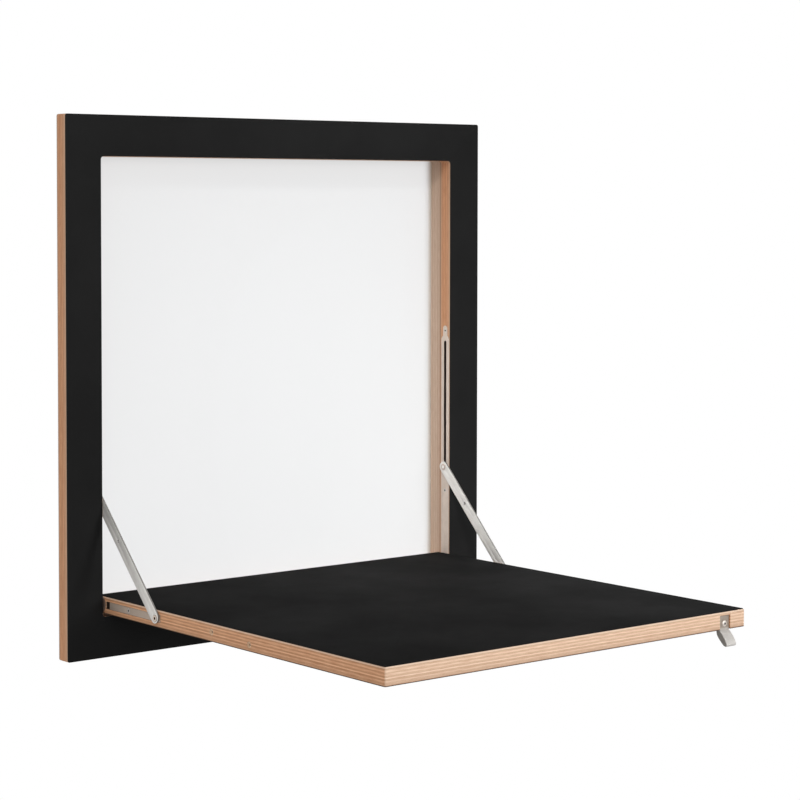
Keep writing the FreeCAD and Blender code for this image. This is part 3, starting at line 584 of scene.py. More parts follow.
@dataclass(frozen=True)
class PlyStack:
    """How the plies on an edge are drawn: each span bounds a mask, and each share is a part of one."""

    wave_scale: float = 9.0
    wave_detail: float = 2.0
    wave_height: float = 0.5 * MM
    uneven_pace: float = 0.8
    uneven_reach: float = 0.9
    grain_share: float = 0.9
    own_share: float = 0.36
    crossing_share: float = 0.64
    fibre_detail: float = 4.0
    fibre_span: tuple[float, float] = (0.35, 0.7)
    fibre_shares: tuple[float, float] = (0.3, 0.16)
    outer_span: tuple[float, float] = (-1.1, -0.8)
    outer_share: float = 0.6
    lowest_span: tuple[float, float] = (0.35, 0.7)
    lowest_share: float = 0.85
    lower_span: tuple[float, float] = (0.0, 5.0)
    lower_share: float = 0.3
    pore_detail: float = 3.0
    pore_span: tuple[float, float] = (0.56, 0.68)
    pore_share: float = 0.35
    glue_span: tuple[float, float] = (0.02, 0.08)
    glue_share: float = 0.5
    # Painted shade: how far the pockets are darkened.
    pocket_shade_share: float = 0.96
    roughness: tuple[float, float] = (0.52, 0.66)
    glue_height: float = -0.6
    fibre_height: float = 0.25

    def build(self) -> bpy.types.NodeTree:
        """Make the group: tones, glue lines, fibres, painted shade in pockets and fine relief.

        Returns:
            The node group.
        """
        wiring, given, result = open_group(
            GroupKind.PLY_STACK,
            {
                "Position": "Vector",
                "Across": "Float",
                "Ply": "Float",
                "Plies": "Float",
                "Fibre Scale": "Vector",
                "Pore Scale": "Vector",
                "Front": "Float",
                "Raw": "Float",
                "Light": "Color",
                "Dark": "Color",
                "Front Light": "Color",
                "Front Dark": "Color",
                "Outer": "Color",
                "Under": "Color",
                "Glue": "Color",
                "Pocket Shade": "Color",
            },
            {"Color": "Color", "Roughness": "Float", "Height": "Float"},
        )
        even_count, count = self.counts(wiring, given)
        crossing = wiring.math("PINGPONG", wiring.math("FLOOR", count), 1.0)
        fibres, pores = (
            wiring.group(
                GroupKind.STREAKS,
                {"Position": given["Position"], "Scale": given[scale], "Detail": detail},
            )["Mask"]
            for scale, detail in (("Fibre Scale", self.fibre_detail), ("Pore Scale", self.pore_detail))
        )

        colour = self.wood(wiring, given, count, crossing, fibres)
        fibre_mask = wiring.ramp(fibres, *self.fibre_span, 0.0, 1.0)
        fibre_tone = wiring.math("MULTIPLY", fibre_mask, wiring.ramp(crossing, 0.0, 1.0, *self.fibre_shares))
        colour = wiring.mix(fibre_tone, colour, given["Dark"], "MULTIPLY")
        colour = self.outer_and_lower_tones(wiring, given, even_count, colour)
        pore_mask = wiring.ramp(pores, *self.pore_span, 0.0, 1.0)
        pore_tone = wiring.math("MULTIPLY", pore_mask, wiring.math("MULTIPLY", crossing, self.pore_share))
        colour = wiring.mix(pore_tone, colour, given["Glue"])
        to_glue = wiring.math("PINGPONG", wiring.math("FRACT", count), 0.5)
        glue_mask = wiring.ramp(to_glue, *self.glue_span, self.glue_share, 0.0)
        colour = wiring.mix(glue_mask, colour, given["Glue"])
        # Painted shade: pockets milled into the board and the leaf are darkened towards the pocket tone.
        colour = wiring.mix(wiring.math("MULTIPLY", given["Raw"], self.pocket_shade_share), colour, given["Pocket Shade"])

        wiring.feed(result["Color"], colour)
        wiring.feed(result["Roughness"], wiring.ramp(fibre_mask, 0.0, 1.0, *self.roughness))
        sunk = wiring.math("SUBTRACT", wiring.math("MULTIPLY", glue_mask, self.glue_height), pore_tone)
        raised = wiring.math("MULTIPLY", fibre_mask, self.fibre_height)
        wiring.feed(result["Height"], wiring.math("ADD", sunk, raised))
        return wiring.tree

    def counts(self, wiring: Wiring, given: Any) -> tuple[bpy.types.NodeSocket, bpy.types.NodeSocket]:
        """Count the plies up to a spot.

        Args:
            wiring: The wiring of the group.
            given: The group's inputs.

        Returns:
            The count for plies of one thickness, and the count for the uneven plies of a real board.
        """
        wave_inputs = {"Vector": given["Position"], "Scale": self.wave_scale, "Detail": self.wave_detail}
        wave = wiring.node("ShaderNodeTexNoise", wave_inputs).outputs[0]
        waviness = wiring.math("MULTIPLY", wiring.math("SUBTRACT", wave, 0.5), self.wave_height)
        even = wiring.math("DIVIDE", wiring.math("ADD", given["Across"], waviness), given["Ply"])
        pace = wiring.math("MULTIPLY", even, self.uneven_pace)
        noise = wiring.node("ShaderNodeTexNoise", {"W": pace, "Scale": 1.0}, noise_dimensions="1D").outputs[0]
        shifted = wiring.math("SUBTRACT", even, self.uneven_reach / 2)
        return even, wiring.math("MULTIPLY_ADD", noise, self.uneven_reach, shifted)

    def wood(
        self, wiring: Wiring, given: Any, count: Any, crossing: Any, fibres: Any
    ) -> bpy.types.NodeSocket:
        """Work out the wood's colour, with painted light that pales the edges facing the room.

        Args:
            wiring: The wiring of the group.
            given: The group's inputs.
            count: The plies up to the spot.
            crossing: One on every second ply, whose fibres run away from the eye.
            fibres: The noise along the fibres.

        Returns:
            The colour, between the light and the dark tone of the edge that is seen.
        """
        floor = wiring.math("FLOOR", count)
        own = wiring.node("ShaderNodeTexWhiteNoise", {"W": floor}, noise_dimensions="1D").outputs["Value"]
        grain_tone = wiring.math("MULTIPLY", wiring.math("SUBTRACT", fibres, 0.5), self.grain_share)
        own_tone = wiring.math("MULTIPLY_ADD", own, self.own_share, grain_tone)
        tone = wiring.math("MULTIPLY_ADD", crossing, self.crossing_share, own_tone)
        light = wiring.mix(given["Front"], given["Light"], given["Front Light"])
        dark = wiring.mix(given["Front"], given["Dark"], given["Front Dark"])
        return wiring.mix(wiring.ramp(tone, 0.0, 1.0, 0.0, 1.0), light, dark)

    def outer_and_lower_tones(self, wiring: Wiring, given: Any, count: Any, colour: Any) -> bpy.types.NodeSocket:
        """Pale the top ply and darken the lowest ones, which on the leaf is painted shade, darker towards the
        bottom.

        Args:
            wiring: The wiring of the group.
            given: The group's inputs.
            count: The plies up to the spot, all of one thickness.
            colour: The wood's own colour.

        Returns:
            The colour with its outer and lower tones.
        """
        below_top = wiring.math("SUBTRACT", count, given["Plies"])
        outer = wiring.ramp(below_top, *self.outer_span, 0.0, self.outer_share)
        colour = wiring.mix(outer, colour, given["Outer"])
        # Painted shade on the leaf: the lowest plies darken towards the bottom.
        lowest = wiring.ramp(count, *self.lowest_span, self.lowest_share, 0.0)
        lower = wiring.ramp(count, *self.lower_span, self.lower_share, 0.0)
        return wiring.mix(wiring.math("MAXIMUM", lowest, lower), colour, given["Under"])


@dataclass(frozen=True)
class Handling:
    """How marks from handling are drawn: faint clouds, and a finer grain to lay over them."""

    cloud_detail: float = 5.0
    cloud_roughness: float = 0.6
    cloud_span: tuple[float, float] = (0.35, 0.65)
    grain_detail: float = 2.0

    def build(self) -> bpy.types.NodeTree:
        """Make the group.

        Returns:
            The node group.
        """
        wiring, given, result = open_group(
            GroupKind.HANDLING,
            {"Position": "Vector", "Cloud Scale": "Float", "Grain Scale": "Float"},
            {"Clouds": "Float", "Grain": "Float"},
        )
        clouds = wiring.node(
            "ShaderNodeTexNoise",
            {
                "Vector": given["Position"],
                "Scale": given["Cloud Scale"],
                "Detail": self.cloud_detail,
                "Roughness": self.cloud_roughness,
            },
        )
        grain = wiring.node(
            "ShaderNodeTexNoise",
            {"Vector": given["Position"], "Scale": given["Grain Scale"], "Detail": self.grain_detail},
        )
        wiring.feed(result["Clouds"], wiring.ramp(clouds.outputs[0], *self.cloud_span, 0.0, 1.0))
        wiring.feed(result["Grain"], grain.outputs[0])
        return wiring.tree


GROUP_BUILDERS = {
    GroupKind.STREAKS: streaks_group,
    GroupKind.BOX_MASK: box_mask_group,
    GroupKind.PLY_STACK: PlyStack().build,
    GroupKind.HANDLING: Handling().build,
}


def new_material(name: str) -> tuple[bpy.types.Material, Wiring, bpy.types.Node, Any]:
    """Start a material.

    Args:
        name: The material's name.

    Returns:
        The material, its wiring, its surface shader and the outputs for the piece's own coordinates.
    """
    material = bpy.data.materials.new(name)
    material.use_nodes = True
    wiring = Wiring(material.node_tree)
    shader = material.node_tree.nodes["Principled BSDF"]
    return material, wiring, shader, wiring.node("ShaderNodeTexCoord").outputs


@dataclass(frozen=True)
class PlyTones:
    """The colours of the plies on an edge."""

    light: Colour = srgb(238, 186, 146)
    dark: Colour = srgb(186, 134, 95)
    # Painted light: paler, less saturated tones for edges that face the room, where the light falls
    # strongest.
    front_light: Colour = srgb(239, 209, 183)
    front_dark: Colour = srgb(206, 172, 143)
    outer: Colour = srgb(228, 204, 182)
    # The tone of the lowest plies; its dark default is painted shade on the leaf, darker towards the bottom.
    under: Colour = srgb(150, 112, 84)
    glue: Colour = srgb(132, 90, 62)
    # Painted shade: the dark tone of milled pockets.
    pocket_shade: Colour = srgb(38, 28, 22)


@dataclass(frozen=True)
class Plywood:
    """Plywood, seen on its edges, with the plies stacked across one axis, and painted dark in its pocket as
    shade.
    """

    name: str
    board: str
    across: Across
    tones: PlyTones = PlyTones()
    pocket_low: Point = (0.0, 0.0, 0.0)
    pocket_high: Point = (0.0, 0.0, 0.0)
    pocket_margin: float = 0.5 * MM
    plies: int = 11
    fibre_scale: tuple[float, float] = (60.0, 1400.0)
    pore_scale: tuple[float, float] = (900.0, 2600.0)
    front_span: tuple[float, float] = (0.3, 0.75)
    relief: float = 0.12
    relief_depth: float = 0.2 * MM
    gloss: float = 0.25

    def stretched(self, scale: tuple[float, float]) -> tuple[float, ...]:
        """A noise scale for the three axes, from one along the plies and one across them."""
        return tuple(scale[0] + (scale[1] - scale[0]) * share for share in self.across.direction)

    def build(self) -> bpy.types.Material:
        """Make the material.

        Returns:
            The material, fitted to its own board.
        """
        material, wiring, shader, coordinates = new_material(self.name)
        position = coordinates["Object"]
        low, high = (corner[self.across.value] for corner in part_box(self.board))
        across = wiring.vector_math("DOT_PRODUCT", position, self.across.direction).outputs["Value"]
        # Painted light: edges that face the room are mixed towards the paler front tones.
        to_front = wiring.vector_math("DOT_PRODUCT", coordinates["Normal"], (0, -1, 0)).outputs["Value"]
        reach = tuple((top - bottom) / 2 for bottom, top in zip(self.pocket_low, self.pocket_high))
        centre = tuple((top + bottom) / 2 for bottom, top in zip(self.pocket_low, self.pocket_high))
        # Painted shade: the mask of the pocket that is darkened.
        pocket_shade_mask = wiring.group(
            GroupKind.BOX_MASK,
            {"Position": position, "Centre": centre, "Reach": reach, "Margin": self.pocket_margin},
        )
        stack = wiring.group(
            GroupKind.PLY_STACK,
            {
                "Position": position,
                "Across": wiring.math("SUBTRACT", across, low),
                "Ply": (high - low) / self.plies,
                "Plies": float(self.plies),
                "Fibre Scale": self.stretched(self.fibre_scale),
                "Pore Scale": self.stretched(self.pore_scale),
                "Front": wiring.ramp(to_front, *self.front_span, 0.0, 1.0),
                "Raw": pocket_shade_mask["Mask"],
                "Light": self.tones.light,
                "Dark": self.tones.dark,
                "Front Light": self.tones.front_light,
                "Front Dark": self.tones.front_dark,
                "Outer": self.tones.outer,
                "Under": self.tones.under,
                "Glue": self.tones.glue,
                "Pocket Shade": self.tones.pocket_shade,
            },
        )
        wiring.feed(shader.inputs["Base Color"], stack["Color"])
        wiring.feed(shader.inputs["Roughness"], stack["Roughness"])
        relief = {"Strength": self.relief, "Distance": self.relief_depth, "Height": stack["Height"]}
        wiring.feed(shader.inputs["Normal"], wiring.node("ShaderNodeBump", relief).outputs[0])
        shader.inputs["Specular IOR Level"].default_value = self.gloss
        return material


@dataclass(frozen=True)
class Laminate:
    """Fine matt black laminate with a brown core that shows at its cut edges."""

    name: str
    across: Across
    base: Colour = srgb(31, 31, 31)
    marked: Colour = srgb(34, 34, 34)
    core: Colour = srgb(118, 92, 72)
    low_roughness: float = 0.7
    high_roughness: float = 0.82
    gloss: float = 0.01
    cloud_scale: float = 7.0
    grain_scale: float = 2600.0
    core_speckle: float = 0.4
    cut_span: tuple[float, float] = (0.2, 0.5)
    relief: float = 0.15
    relief_depth: float = 0.05 * MM

    def build(self) -> bpy.types.Material:
        """Make the material.

        Returns:
            The material, black on its faces and brown where it is cut.
        """
        material, wiring, shader, coordinates = new_material(self.name)
        position = coordinates["Object"]
        handling = {"Position": position, "Cloud Scale": self.cloud_scale, "Grain Scale": self.grain_scale}
        marks = wiring.group(GroupKind.HANDLING, handling)
        direction = self.across.direction
        facing = wiring.vector_math("DOT_PRODUCT", coordinates["Normal"], direction).outputs["Value"]
        cut_edge = wiring.ramp(wiring.math("ABSOLUTE", facing), *self.cut_span, 1.0, 0.0)
        skin = wiring.mix(marks["Clouds"], self.base, self.marked)
        speckle = wiring.math("MULTIPLY", marks["Grain"], self.core_speckle)
        core = wiring.mix(speckle, self.core, self.base)
        wiring.feed(shader.inputs["Base Color"], wiring.mix(cut_edge, skin, core))
        roughness = wiring.ramp(marks["Clouds"], 0.0, 1.0, self.high_roughness, self.low_roughness)
        wiring.feed(shader.inputs["Roughness"], roughness)
        relief = {"Strength": self.relief, "Distance": self.relief_depth, "Height": marks["Grain"]}
        wiring.feed(shader.inputs["Normal"], wiring.node("ShaderNodeBump", relief).outputs[0])
        shader.inputs["Specular IOR Level"].default_value = self.gloss
        return material


@dataclass(frozen=True)
class SatinMetal:
    """Brushed, plated or cast metal with a satin surface."""

    name: str
    colour: Colour = srgb(228, 224, 219)
    dull: Colour = srgb(214, 210, 204)
    low_roughness: float = 0.42
    high_roughness: float = 0.56
    metallic: float = 0.15
    brush: Point = (900.0, 900.0, 60.0)
    brush_detail: float = 3.0
    worn_span: tuple[float, float] = (0.2, 0.8)
    relief: float = 0.08
    relief_depth: float = 0.05 * MM
    cloud_scale: float = 60.0
    grain_scale: float = 3000.0

    def build(self) -> bpy.types.Material:
        """Make the material.

        Returns:
            The material, with its own colours in it.
        """
        material, wiring, shader, coordinates = new_material(self.name)
        position = coordinates["Object"]
        brush = {"Position": position, "Scale": self.brush, "Detail": self.brush_detail}
        lines = wiring.group(GroupKind.STREAKS, brush)["Mask"]
        handling = {"Position": position, "Cloud Scale": self.cloud_scale, "Grain Scale": self.grain_scale}
        marks = wiring.group(GroupKind.HANDLING, handling)
        worn = wiring.math("MULTIPLY", wiring.math("ADD", lines, marks["Clouds"]), 0.5)
        colour = wiring.mix(worn, self.colour, self.dull)
        wiring.feed(shader.inputs["Base Color"], self.with_grime_and_shade(wiring, coordinates, colour))
        roughness = wiring.ramp(worn, *self.worn_span, self.low_roughness, self.high_roughness)
        wiring.feed(shader.inputs["Roughness"], roughness)
        relief = {"Strength": self.relief, "Distance": self.relief_depth, "Height": lines}
        wiring.feed(shader.inputs["Normal"], wiring.node("ShaderNodeBump", relief).outputs[0])
        shader.inputs["Metallic"].default_value = self.metallic
        return material

    def with_grime_and_shade(self, wiring: Wiring, coordinates: Any, colour: bpy.types.NodeSocket) -> Any:
        """The metal's colour with any grime and painted shade over it: none on plain metal."""
        return colour


@dataclass(frozen=True)
class FlatBar(SatinMetal):
    """Flat steel that lies across X, satin on its faces and painted darker on its cut edges, as shade."""

    # Painted shade: the darker tone of the cut edges.
    cut_edge: Colour = srgb(128, 125, 121)
    cut_span: tuple[float, float] = (0.35, 0.85)

    def with_grime_and_shade(self, wiring: Wiring, coordinates: Any, colour: bpy.types.NodeSocket) -> Any:
        """Paint shade on the metal's cut edges.

        Args:
            wiring: The wiring of the material.
            coordinates: The outputs for the piece's own coordinates.
            colour: The colour of the clean metal.

        Returns:
            The colour with the painted shade over it.
        """
        sideways = wiring.vector_math("DOT_PRODUCT", coordinates["Normal"], (1, 0, 0)).outputs["Value"]
        share = wiring.ramp(wiring.math("ABSOLUTE", sideways), *self.cut_span, 1.0, 0.0)
        return wiring.mix(share, colour, self.cut_edge)


@dataclass(frozen=True)
class CastPull(SatinMetal):
    """The casting of the finger pull, with painted shade on its sides and above the bend."""

    # Painted shade: the darker tones above the bend, where the plate sits in the notch, and on the sides.
    notch_shade: Colour = srgb(134, 120, 106)
    notch_shade_share: float = 0.85
    side_shade: Colour = srgb(122, 117, 111)
    side_shade_share: float = 0.9
    side_span: tuple[float, float] = (0.35, 0.85)
    bright_below: float = 0.0
    shaded_above: float = 1.0

    def with_grime_and_shade(self, wiring: Wiring, coordinates: Any, colour: bpy.types.NodeSocket) -> Any:
        """Paint shade on the metal's sides and above the bend.

        Args:
            wiring: The wiring of the material.
            coordinates: The outputs for the piece's own coordinates.
            colour: The colour of the clean metal.

        Returns:
            The colour with the painted shade over it.
        """
        turned_aside = wiring.vector_math("DOT_PRODUCT", coordinates["Normal"], (1, 0, 0)).outputs["Value"]
        aside = wiring.ramp(wiring.math("ABSOLUTE", turned_aside), *self.side_span, 0.0, self.side_shade_share)
        colour = wiring.mix(aside, colour, self.side_shade)
        height = wiring.node("ShaderNodeSeparateXYZ", {0: coordinates["Object"]}).outputs[2]
        share = wiring.ramp(height, self.bright_below, self.shaded_above, 0.0, self.notch_shade_share)
        return wiring.mix(share, colour, self.notch_shade)


@dataclass(frozen=True)
class ShadedGrimyHead(SatinMetal):
    """The metal of round heads across X, with grime and painted shade in their middles and round their rims.
    """

    # Grime and painted shade: the dark tone in the middle and round the rim.
    grime_and_shade: Colour = srgb(84, 68, 56)
    axes: tuple[Point, ...] = ()
    clean_from: float = 0.0
    clean_to: float = 1.0
    blur: float = 0.3 * MM

    def with_grime_and_shade(self, wiring: Wiring, coordinates: Any, colour: bpy.types.NodeSocket) -> Any:
        """Put grime and painted shade nearer the axis than one radius and beyond another.

        Args:
            wiring: The wiring of the material.
            coordinates: The outputs for the piece's own coordinates.
            colour: The colour of the clean metal.

        Returns:
            The colour with the grime and painted shade over it.
        """
        away = 1.0
        for axis in self.axes:
            offset = wiring.vector_math("SUBTRACT", coordinates["Object"], axis).outputs[0]
            flat = wiring.vector_math("MULTIPLY", offset, (0, 1, 1)).outputs[0]
            away = wiring.math("MINIMUM", away, wiring.vector_math("LENGTH", flat).outputs["Value"])
        middle = wiring.ramp(away, self.clean_from - self.blur, self.clean_from, 1.0, 0.0)
        rim = wiring.ramp(away, self.clean_to, self.clean_to + self.blur, 0.0, 1.0)
        return wiring.mix(wiring.math("MAXIMUM", middle, rim), colour, self.grime_and_shade)


@dataclass(frozen=True)
class Nylon:
    """Grey glass-filled nylon."""

    name: str = "grey_nylon"
    pale: Colour = srgb(116, 101, 91)
    deep: Colour = srgb(98, 84, 75)
    cloud_scale: float = 90.0
    grain_scale: float = 2400.0
    grain_span: tuple[float, float] = (0.3, 0.7)
    roughness: tuple[float, float] = (0.42, 0.56)

    def build(self) -> bpy.types.Material:
        """Make the material.

        Returns:
            The material, with its own colours in it.
        """
        material, wiring, shader, coordinates = new_material(self.name)
        position = coordinates["Object"]
        handling = {"Position": position, "Cloud Scale": self.cloud_scale, "Grain Scale": self.grain_scale}
        marks = wiring.group(GroupKind.HANDLING, handling)
        wiring.feed(shader.inputs["Base Color"], wiring.mix(marks["Clouds"], self.pale, self.deep))
        roughness = wiring.ramp(marks["Grain"], *self.grain_span, *self.roughness)
        wiring.feed(shader.inputs["Roughness"], roughness)
        return material


@dataclass
class Finishes:
    """Every finish on the table, built once."""

    board_ply: bpy.types.Material
    rear_ply: bpy.types.Material
    leaf_ply: bpy.types.Material
    upright_laminate: bpy.types.Material
    level_laminate: bpy.types.Material
    arm_steel: bpy.types.Material
    rail_steel: bpy.types.Material
    plate_steel: bpy.types.Material
    rivet_metal: bpy.types.Material
    slider_metal: bpy.types.Material
    zinc: bpy.types.Material
    recess: bpy.types.Material
    pull_metal: bpy.types.Material
    magnet_metal: bpy.types.Material
    nylon: bpy.types.Material

    @classmethod
    def build(cls) -> "Finishes":
        """Make every material, with each stack of plies fitted to its own board.

        Returns:
            The finishes.
        """
        board_low, board_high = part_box("front_board_core")
        leaf_low, leaf_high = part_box("leaf_core")
        rail_low, rail_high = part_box("stay_rail_right")
        skin, slack, front_edge = 0.3 * MM, 1 * MM, 6 * MM
        board = Plywood(
            "front_board_plywood",
            "front_board_core",
            Across.DEPTH,
            PlyTones(
                light=srgb(222, 168, 127),
                dark=srgb(180, 127, 90),
                outer=srgb(214, 176, 148),
                under=srgb(204, 180, 158),
            ),
            # Painted shade darkens the board round the rail, behind its slot.
            pocket_low=(rail_low.x + skin, board_low.y, rail_low.z - slack),
            pocket_high=(board_high.x - skin, board_high.y, rail_high.z + slack),
        )
        # Painted shade: the same birch as the front board in paler, greyer tones, standing for the shade and
        # the wall's bounce on the rear frame.
        rear = Plywood(
            "rear_frame_plywood",
            "rear_frame",
            Across.DEPTH,
            PlyTones(light=srgb(209, 184, 164), dark=srgb(188, 163, 143)),
        )
        leaf = Plywood(
            "leaf_plywood",
            "leaf_core",
            Across.HEIGHT,
            # Painted shade darkens what is milled into the leaf's sides.
            pocket_low=(0.0, leaf_low.y + front_edge, leaf_low.z),
            pocket_high=(leaf_high.x - skin, leaf_high.y - slack, leaf_high.z),
        )
        # Painted shade darkens the pull from just below the leaf's underside up to its screw.
        pull = CastPull(
            "cast_satin",
            srgb(198, 195, 191),
            srgb(176, 172, 167),
            metallic=0.3,
            bright_below=leaf_low.z - 2 * MM,
            shaded_above=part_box("finger_pull_screw")[0].z,
        )
        # Painted shade: a darker copy of the same black laminate for the leaf's level faces, to offset the
        # light that falls on them.
        level = Laminate(
            "black_laminate_level",
            Across.HEIGHT,
            base=srgb(27, 27, 27),
            marked=srgb(30, 30, 30),
            core=srgb(70, 58, 50),
        )
        # Painted reflection: the rail's steel is warmed as by the wood round it. Painted shade: the plate's
        # steel is darker and browner, and the cut edges of rail and plate are darker.
        rail = FlatBar("wood_reflecting_steel", srgb(216, 201, 188), srgb(200, 185, 172), cut_edge=srgb(58, 46, 38))
        plate = FlatBar("shaded_plate_steel", srgb(190, 173, 158), srgb(172, 155, 140), cut_edge=srgb(104, 86, 72))
        # Rivets: grime and painted shade in the bore and round the head's rim.
        rivet = ShadedGrimyHead(
            "rivet_steel",
            srgb(230, 214, 200),
            srgb(214, 196, 180),
            axes=axes_of("stay_rivet_right"),
            clean_from=2.1 * MM,
            clean_to=4.0 * MM,
        )
        # Painted highlight: the slider's domed head is near white, with a darker pinkish tone beyond its
        # middle.
        slider = ShadedGrimyHead(
            "slider_steel",
            srgb(250, 247, 244),
            srgb(240, 236, 232),
            grime_and_shade=srgb(196, 178, 166),
            axes=axes_of("slider_pin_right"),
            clean_to=2.2 * MM,
        )
        # Magnet cups: grime and painted shade in the middle of each cup's floor.
        magnet = ShadedGrimyHead(
            "magnet_nickel",
            srgb(222, 192, 160),
            srgb(204, 172, 140),
            grime_and_shade=srgb(112, 84, 62),
            axes=axes_of("holding_magnets_right"),
            clean_from=1.7 * MM,
            clean_to=9.0 * MM,
        )
        # Painted shade: the arm's cut edges take the bar's darker cut-edge tone.
        arm = FlatBar("satin_steel", srgb(238, 235, 230), srgb(222, 219, 214), metallic=0.4)
        zinc = SatinMetal(
            "zinc_plating",
            srgb(220, 212, 204),
            srgb(196, 188, 180),
            low_roughness=0.3,
            high_roughness=0.44,
            metallic=0.5,
        )
        recess = SatinMetal("recess_shade", srgb(52, 43, 37), srgb(38, 31, 27), metallic=0.0)
        return cls(
            board_ply=board.build(),
            rear_ply=rear.build(),
            leaf_ply=leaf.build(),
            upright_laminate=Laminate("black_laminate_upright", Across.DEPTH).build(),
            level_laminate=level.build(),
            arm_steel=arm.build(),
            rail_steel=rail.build(),
            plate_steel=plate.build(),
            rivet_metal=rivet.build(),
            slider_metal=slider.build(),
            zinc=zinc.build(),
            recess=recess.build(),
            pull_metal=pull.build(),
            magnet_metal=magnet.build(),
            nylon=Nylon().build(),
        )


@dataclass(frozen=True)
class ScrewStyle:
    """What a kind of cross-recess screw is like, apart from its size."""

    metal: bpy.types.Material
    shade: bpy.types.Material
    head_depth: float = 1.5 * MM
    shank_radius: float = 1.7 * MM
    domed: bool = False
    recess_share: float = 0.66
    recess_width_share: float = 0.36
    recess_taper: float = 0.45
    bore_share: float = 0.42
    bore_taper: float = 0.4
    bore_corners: int = 16
    recess_depth: float = 1.4 * MM
    face_share: float = 1.2
    rim: float = 0.15 * MM
    rim_bend: tuple[float, float] = (0.4, 0.3)
    tip: float = 3 * MM
    tip_radius: float = 0.1 * MM
    dome_edge: float = 0.5 * MM
    dome_angles: tuple[float, ...] = (0, 20, 40, 60, 78)


@dataclass
class CrossScrew:
    """A screw with a cross recess, modelled at the origin with its head's face at height 0."""

    name: str
    head_radius: float
    length: float
    style: ScrewStyle

    def outline(self) -> Profile:
        """Draw the screw's profile.

        Returns:
            Radius and height at each step, from the tip to the middle of the head.
        """
        style = self.style
        neck = -style.head_depth
        shank = [
            (style.tip_radius, -self.length),
            (style.shank_radius, style.tip - self.length),
            (style.shank_radius, neck),
        ]
        if not style.domed:
            inset, drop = (share * style.rim for share in style.rim_bend)
            return [
                *shank,
                (self.head_radius, -style.rim),
                (self.head_radius - inset, -drop),
                (self.head_radius - style.rim, 0.0),
                (self.head_radius * style.recess_share * style.face_share, 0.0),
            ]
        rise = style.head_depth - style.dome_edge
        arc = [math.radians(angle) for angle in style.dome_angles]
        dome = [(self.head_radius * math.cos(angle), rise * (math.sin(angle) - 1)) for angle in arc]
        return [*shank, (self.head_radius, neck), *dome]

    def recess(self) -> bpy.types.Object:
        """Model a cross-shaped cutter that narrows towards its bottom and leaves its shade behind.

        Returns:
            The cutter, at the origin.
        """
        reach = self.head_radius * self.style.recess_share
        width = self.head_radius * self.style.recess_width_share
        depth, taper = self.style.recess_depth, self.style.recess_taper
        arms = []
        for span_x, span_y in ((2 * reach, width), (width, 2 * reach)):
            deselect_all()
            bpy.ops.mesh.primitive_cube_add(size=1)
            arm = bpy.context.object
            arm.data.transform(Matrix.Diagonal((span_x, span_y, 2 * depth, 1)))
            with editing(arm):
                select_faces(arm, lambda face: face.normal.z < -0.5)
                bpy.ops.transform.resize(value=(taper, taper, 1), center_override=(0, 0, -depth))
            arm.data.materials.append(self.style.shade)
            arms.append(arm)
        bore_radius = self.head_radius * self.style.bore_share
        outline = [(self.style.bore_taper * bore_radius, -depth), (bore_radius, depth)]
        bore = turned(f"{self.name}_bore", outline, self.style.bore_corners)
        bore.data.materials.append(self.style.shade)
        shape_with(arms[0], arms[1], Shaping.JOIN)
        shape_with(arms[0], bore, Shaping.JOIN)
        return arms[0]

    def build(self) -> bpy.types.Object:
        """Model the screw and cut its recess.

        Returns:
            The screw, at the origin.
        """
        screw = turned(self.name, self.outline())
        screw.data.materials.append(self.style.metal)
        shape_with(screw, self.recess(), Shaping.CUT)
        smooth(screw)
        return screw


def fitted_screws(node: str, name: str, facing: Facing, style: ScrewStyle) -> bpy.types.Object:
    """Model a screw as large as the CAD node's and put one in each of its places.

    Args:
        node: The CAD node that holds the screws.
        name: The new piece's name.
        facing: Which way the heads look.
        style: What kind of screw it is.

    Returns:
        The joined screws.
    """
    solids = solids_of(node)
    radius, length = solids[0].radius(facing), solids[0].depth(facing)
    pattern = CrossScrew(f"{name}_pattern", radius, length, style).build()
    angles = [math.radians(FIRST_TWIST + NEXT_TWIST * number) for number in range(len(solids))]
    twists = [Matrix.Rotation(angle, 4, "Z") for angle in angles]
    places = [
        Matrix.Translation(solid.face(facing)) @ facing.turn() @ twist for solid, twist in zip(solids, twists)
    ]
    return stand_in(copies(pattern, name, places), pattern, node)


def fitted_turning(
    node: str, name: str, facing: Facing, profile: Profile, hollow: bool = False
) -> bpy.types.Object:
    """Turn a piece and put one in each place where a CAD node has it.

    Args:
        node: The CAD node that holds the turned solids.
        name: The new piece's name.
        facing: Where the end of the profile looks.
        profile: Radius and height at each step, from nought at the far end of the solid.
        hollow: Whether the profile comes back to its start.

    Returns:
        The joined turned pieces.
    """
    solids = solids_of(node)
    pattern = turned(f"{name}_pattern", profile, hollow=hollow)
    depth = Vector(facing.value) * solids[0].depth(facing)
    places = [Matrix.Translation(solid.face(facing) - depth) @ facing.turn() for solid in solids]
    return stand_in(copies(pattern, name, places), pattern, node)


def stand_in(piece: bpy.types.Object, pattern: bpy.types.Object, node: str) -> bpy.types.Object:
    """Let a joined piece stand for a CAD node, and drop the pattern that it was copied from.

    Args:
        piece: The joined piece.
        pattern: The single piece that it was copied from.
        node: The CAD node that it stands for.

    Returns:
        The joined piece, riding on the node's own body.
    """
    remove(pattern)
    smooth(piece)
    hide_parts(node)
    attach(piece, frame["nodes"][node]["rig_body"])
    return piece


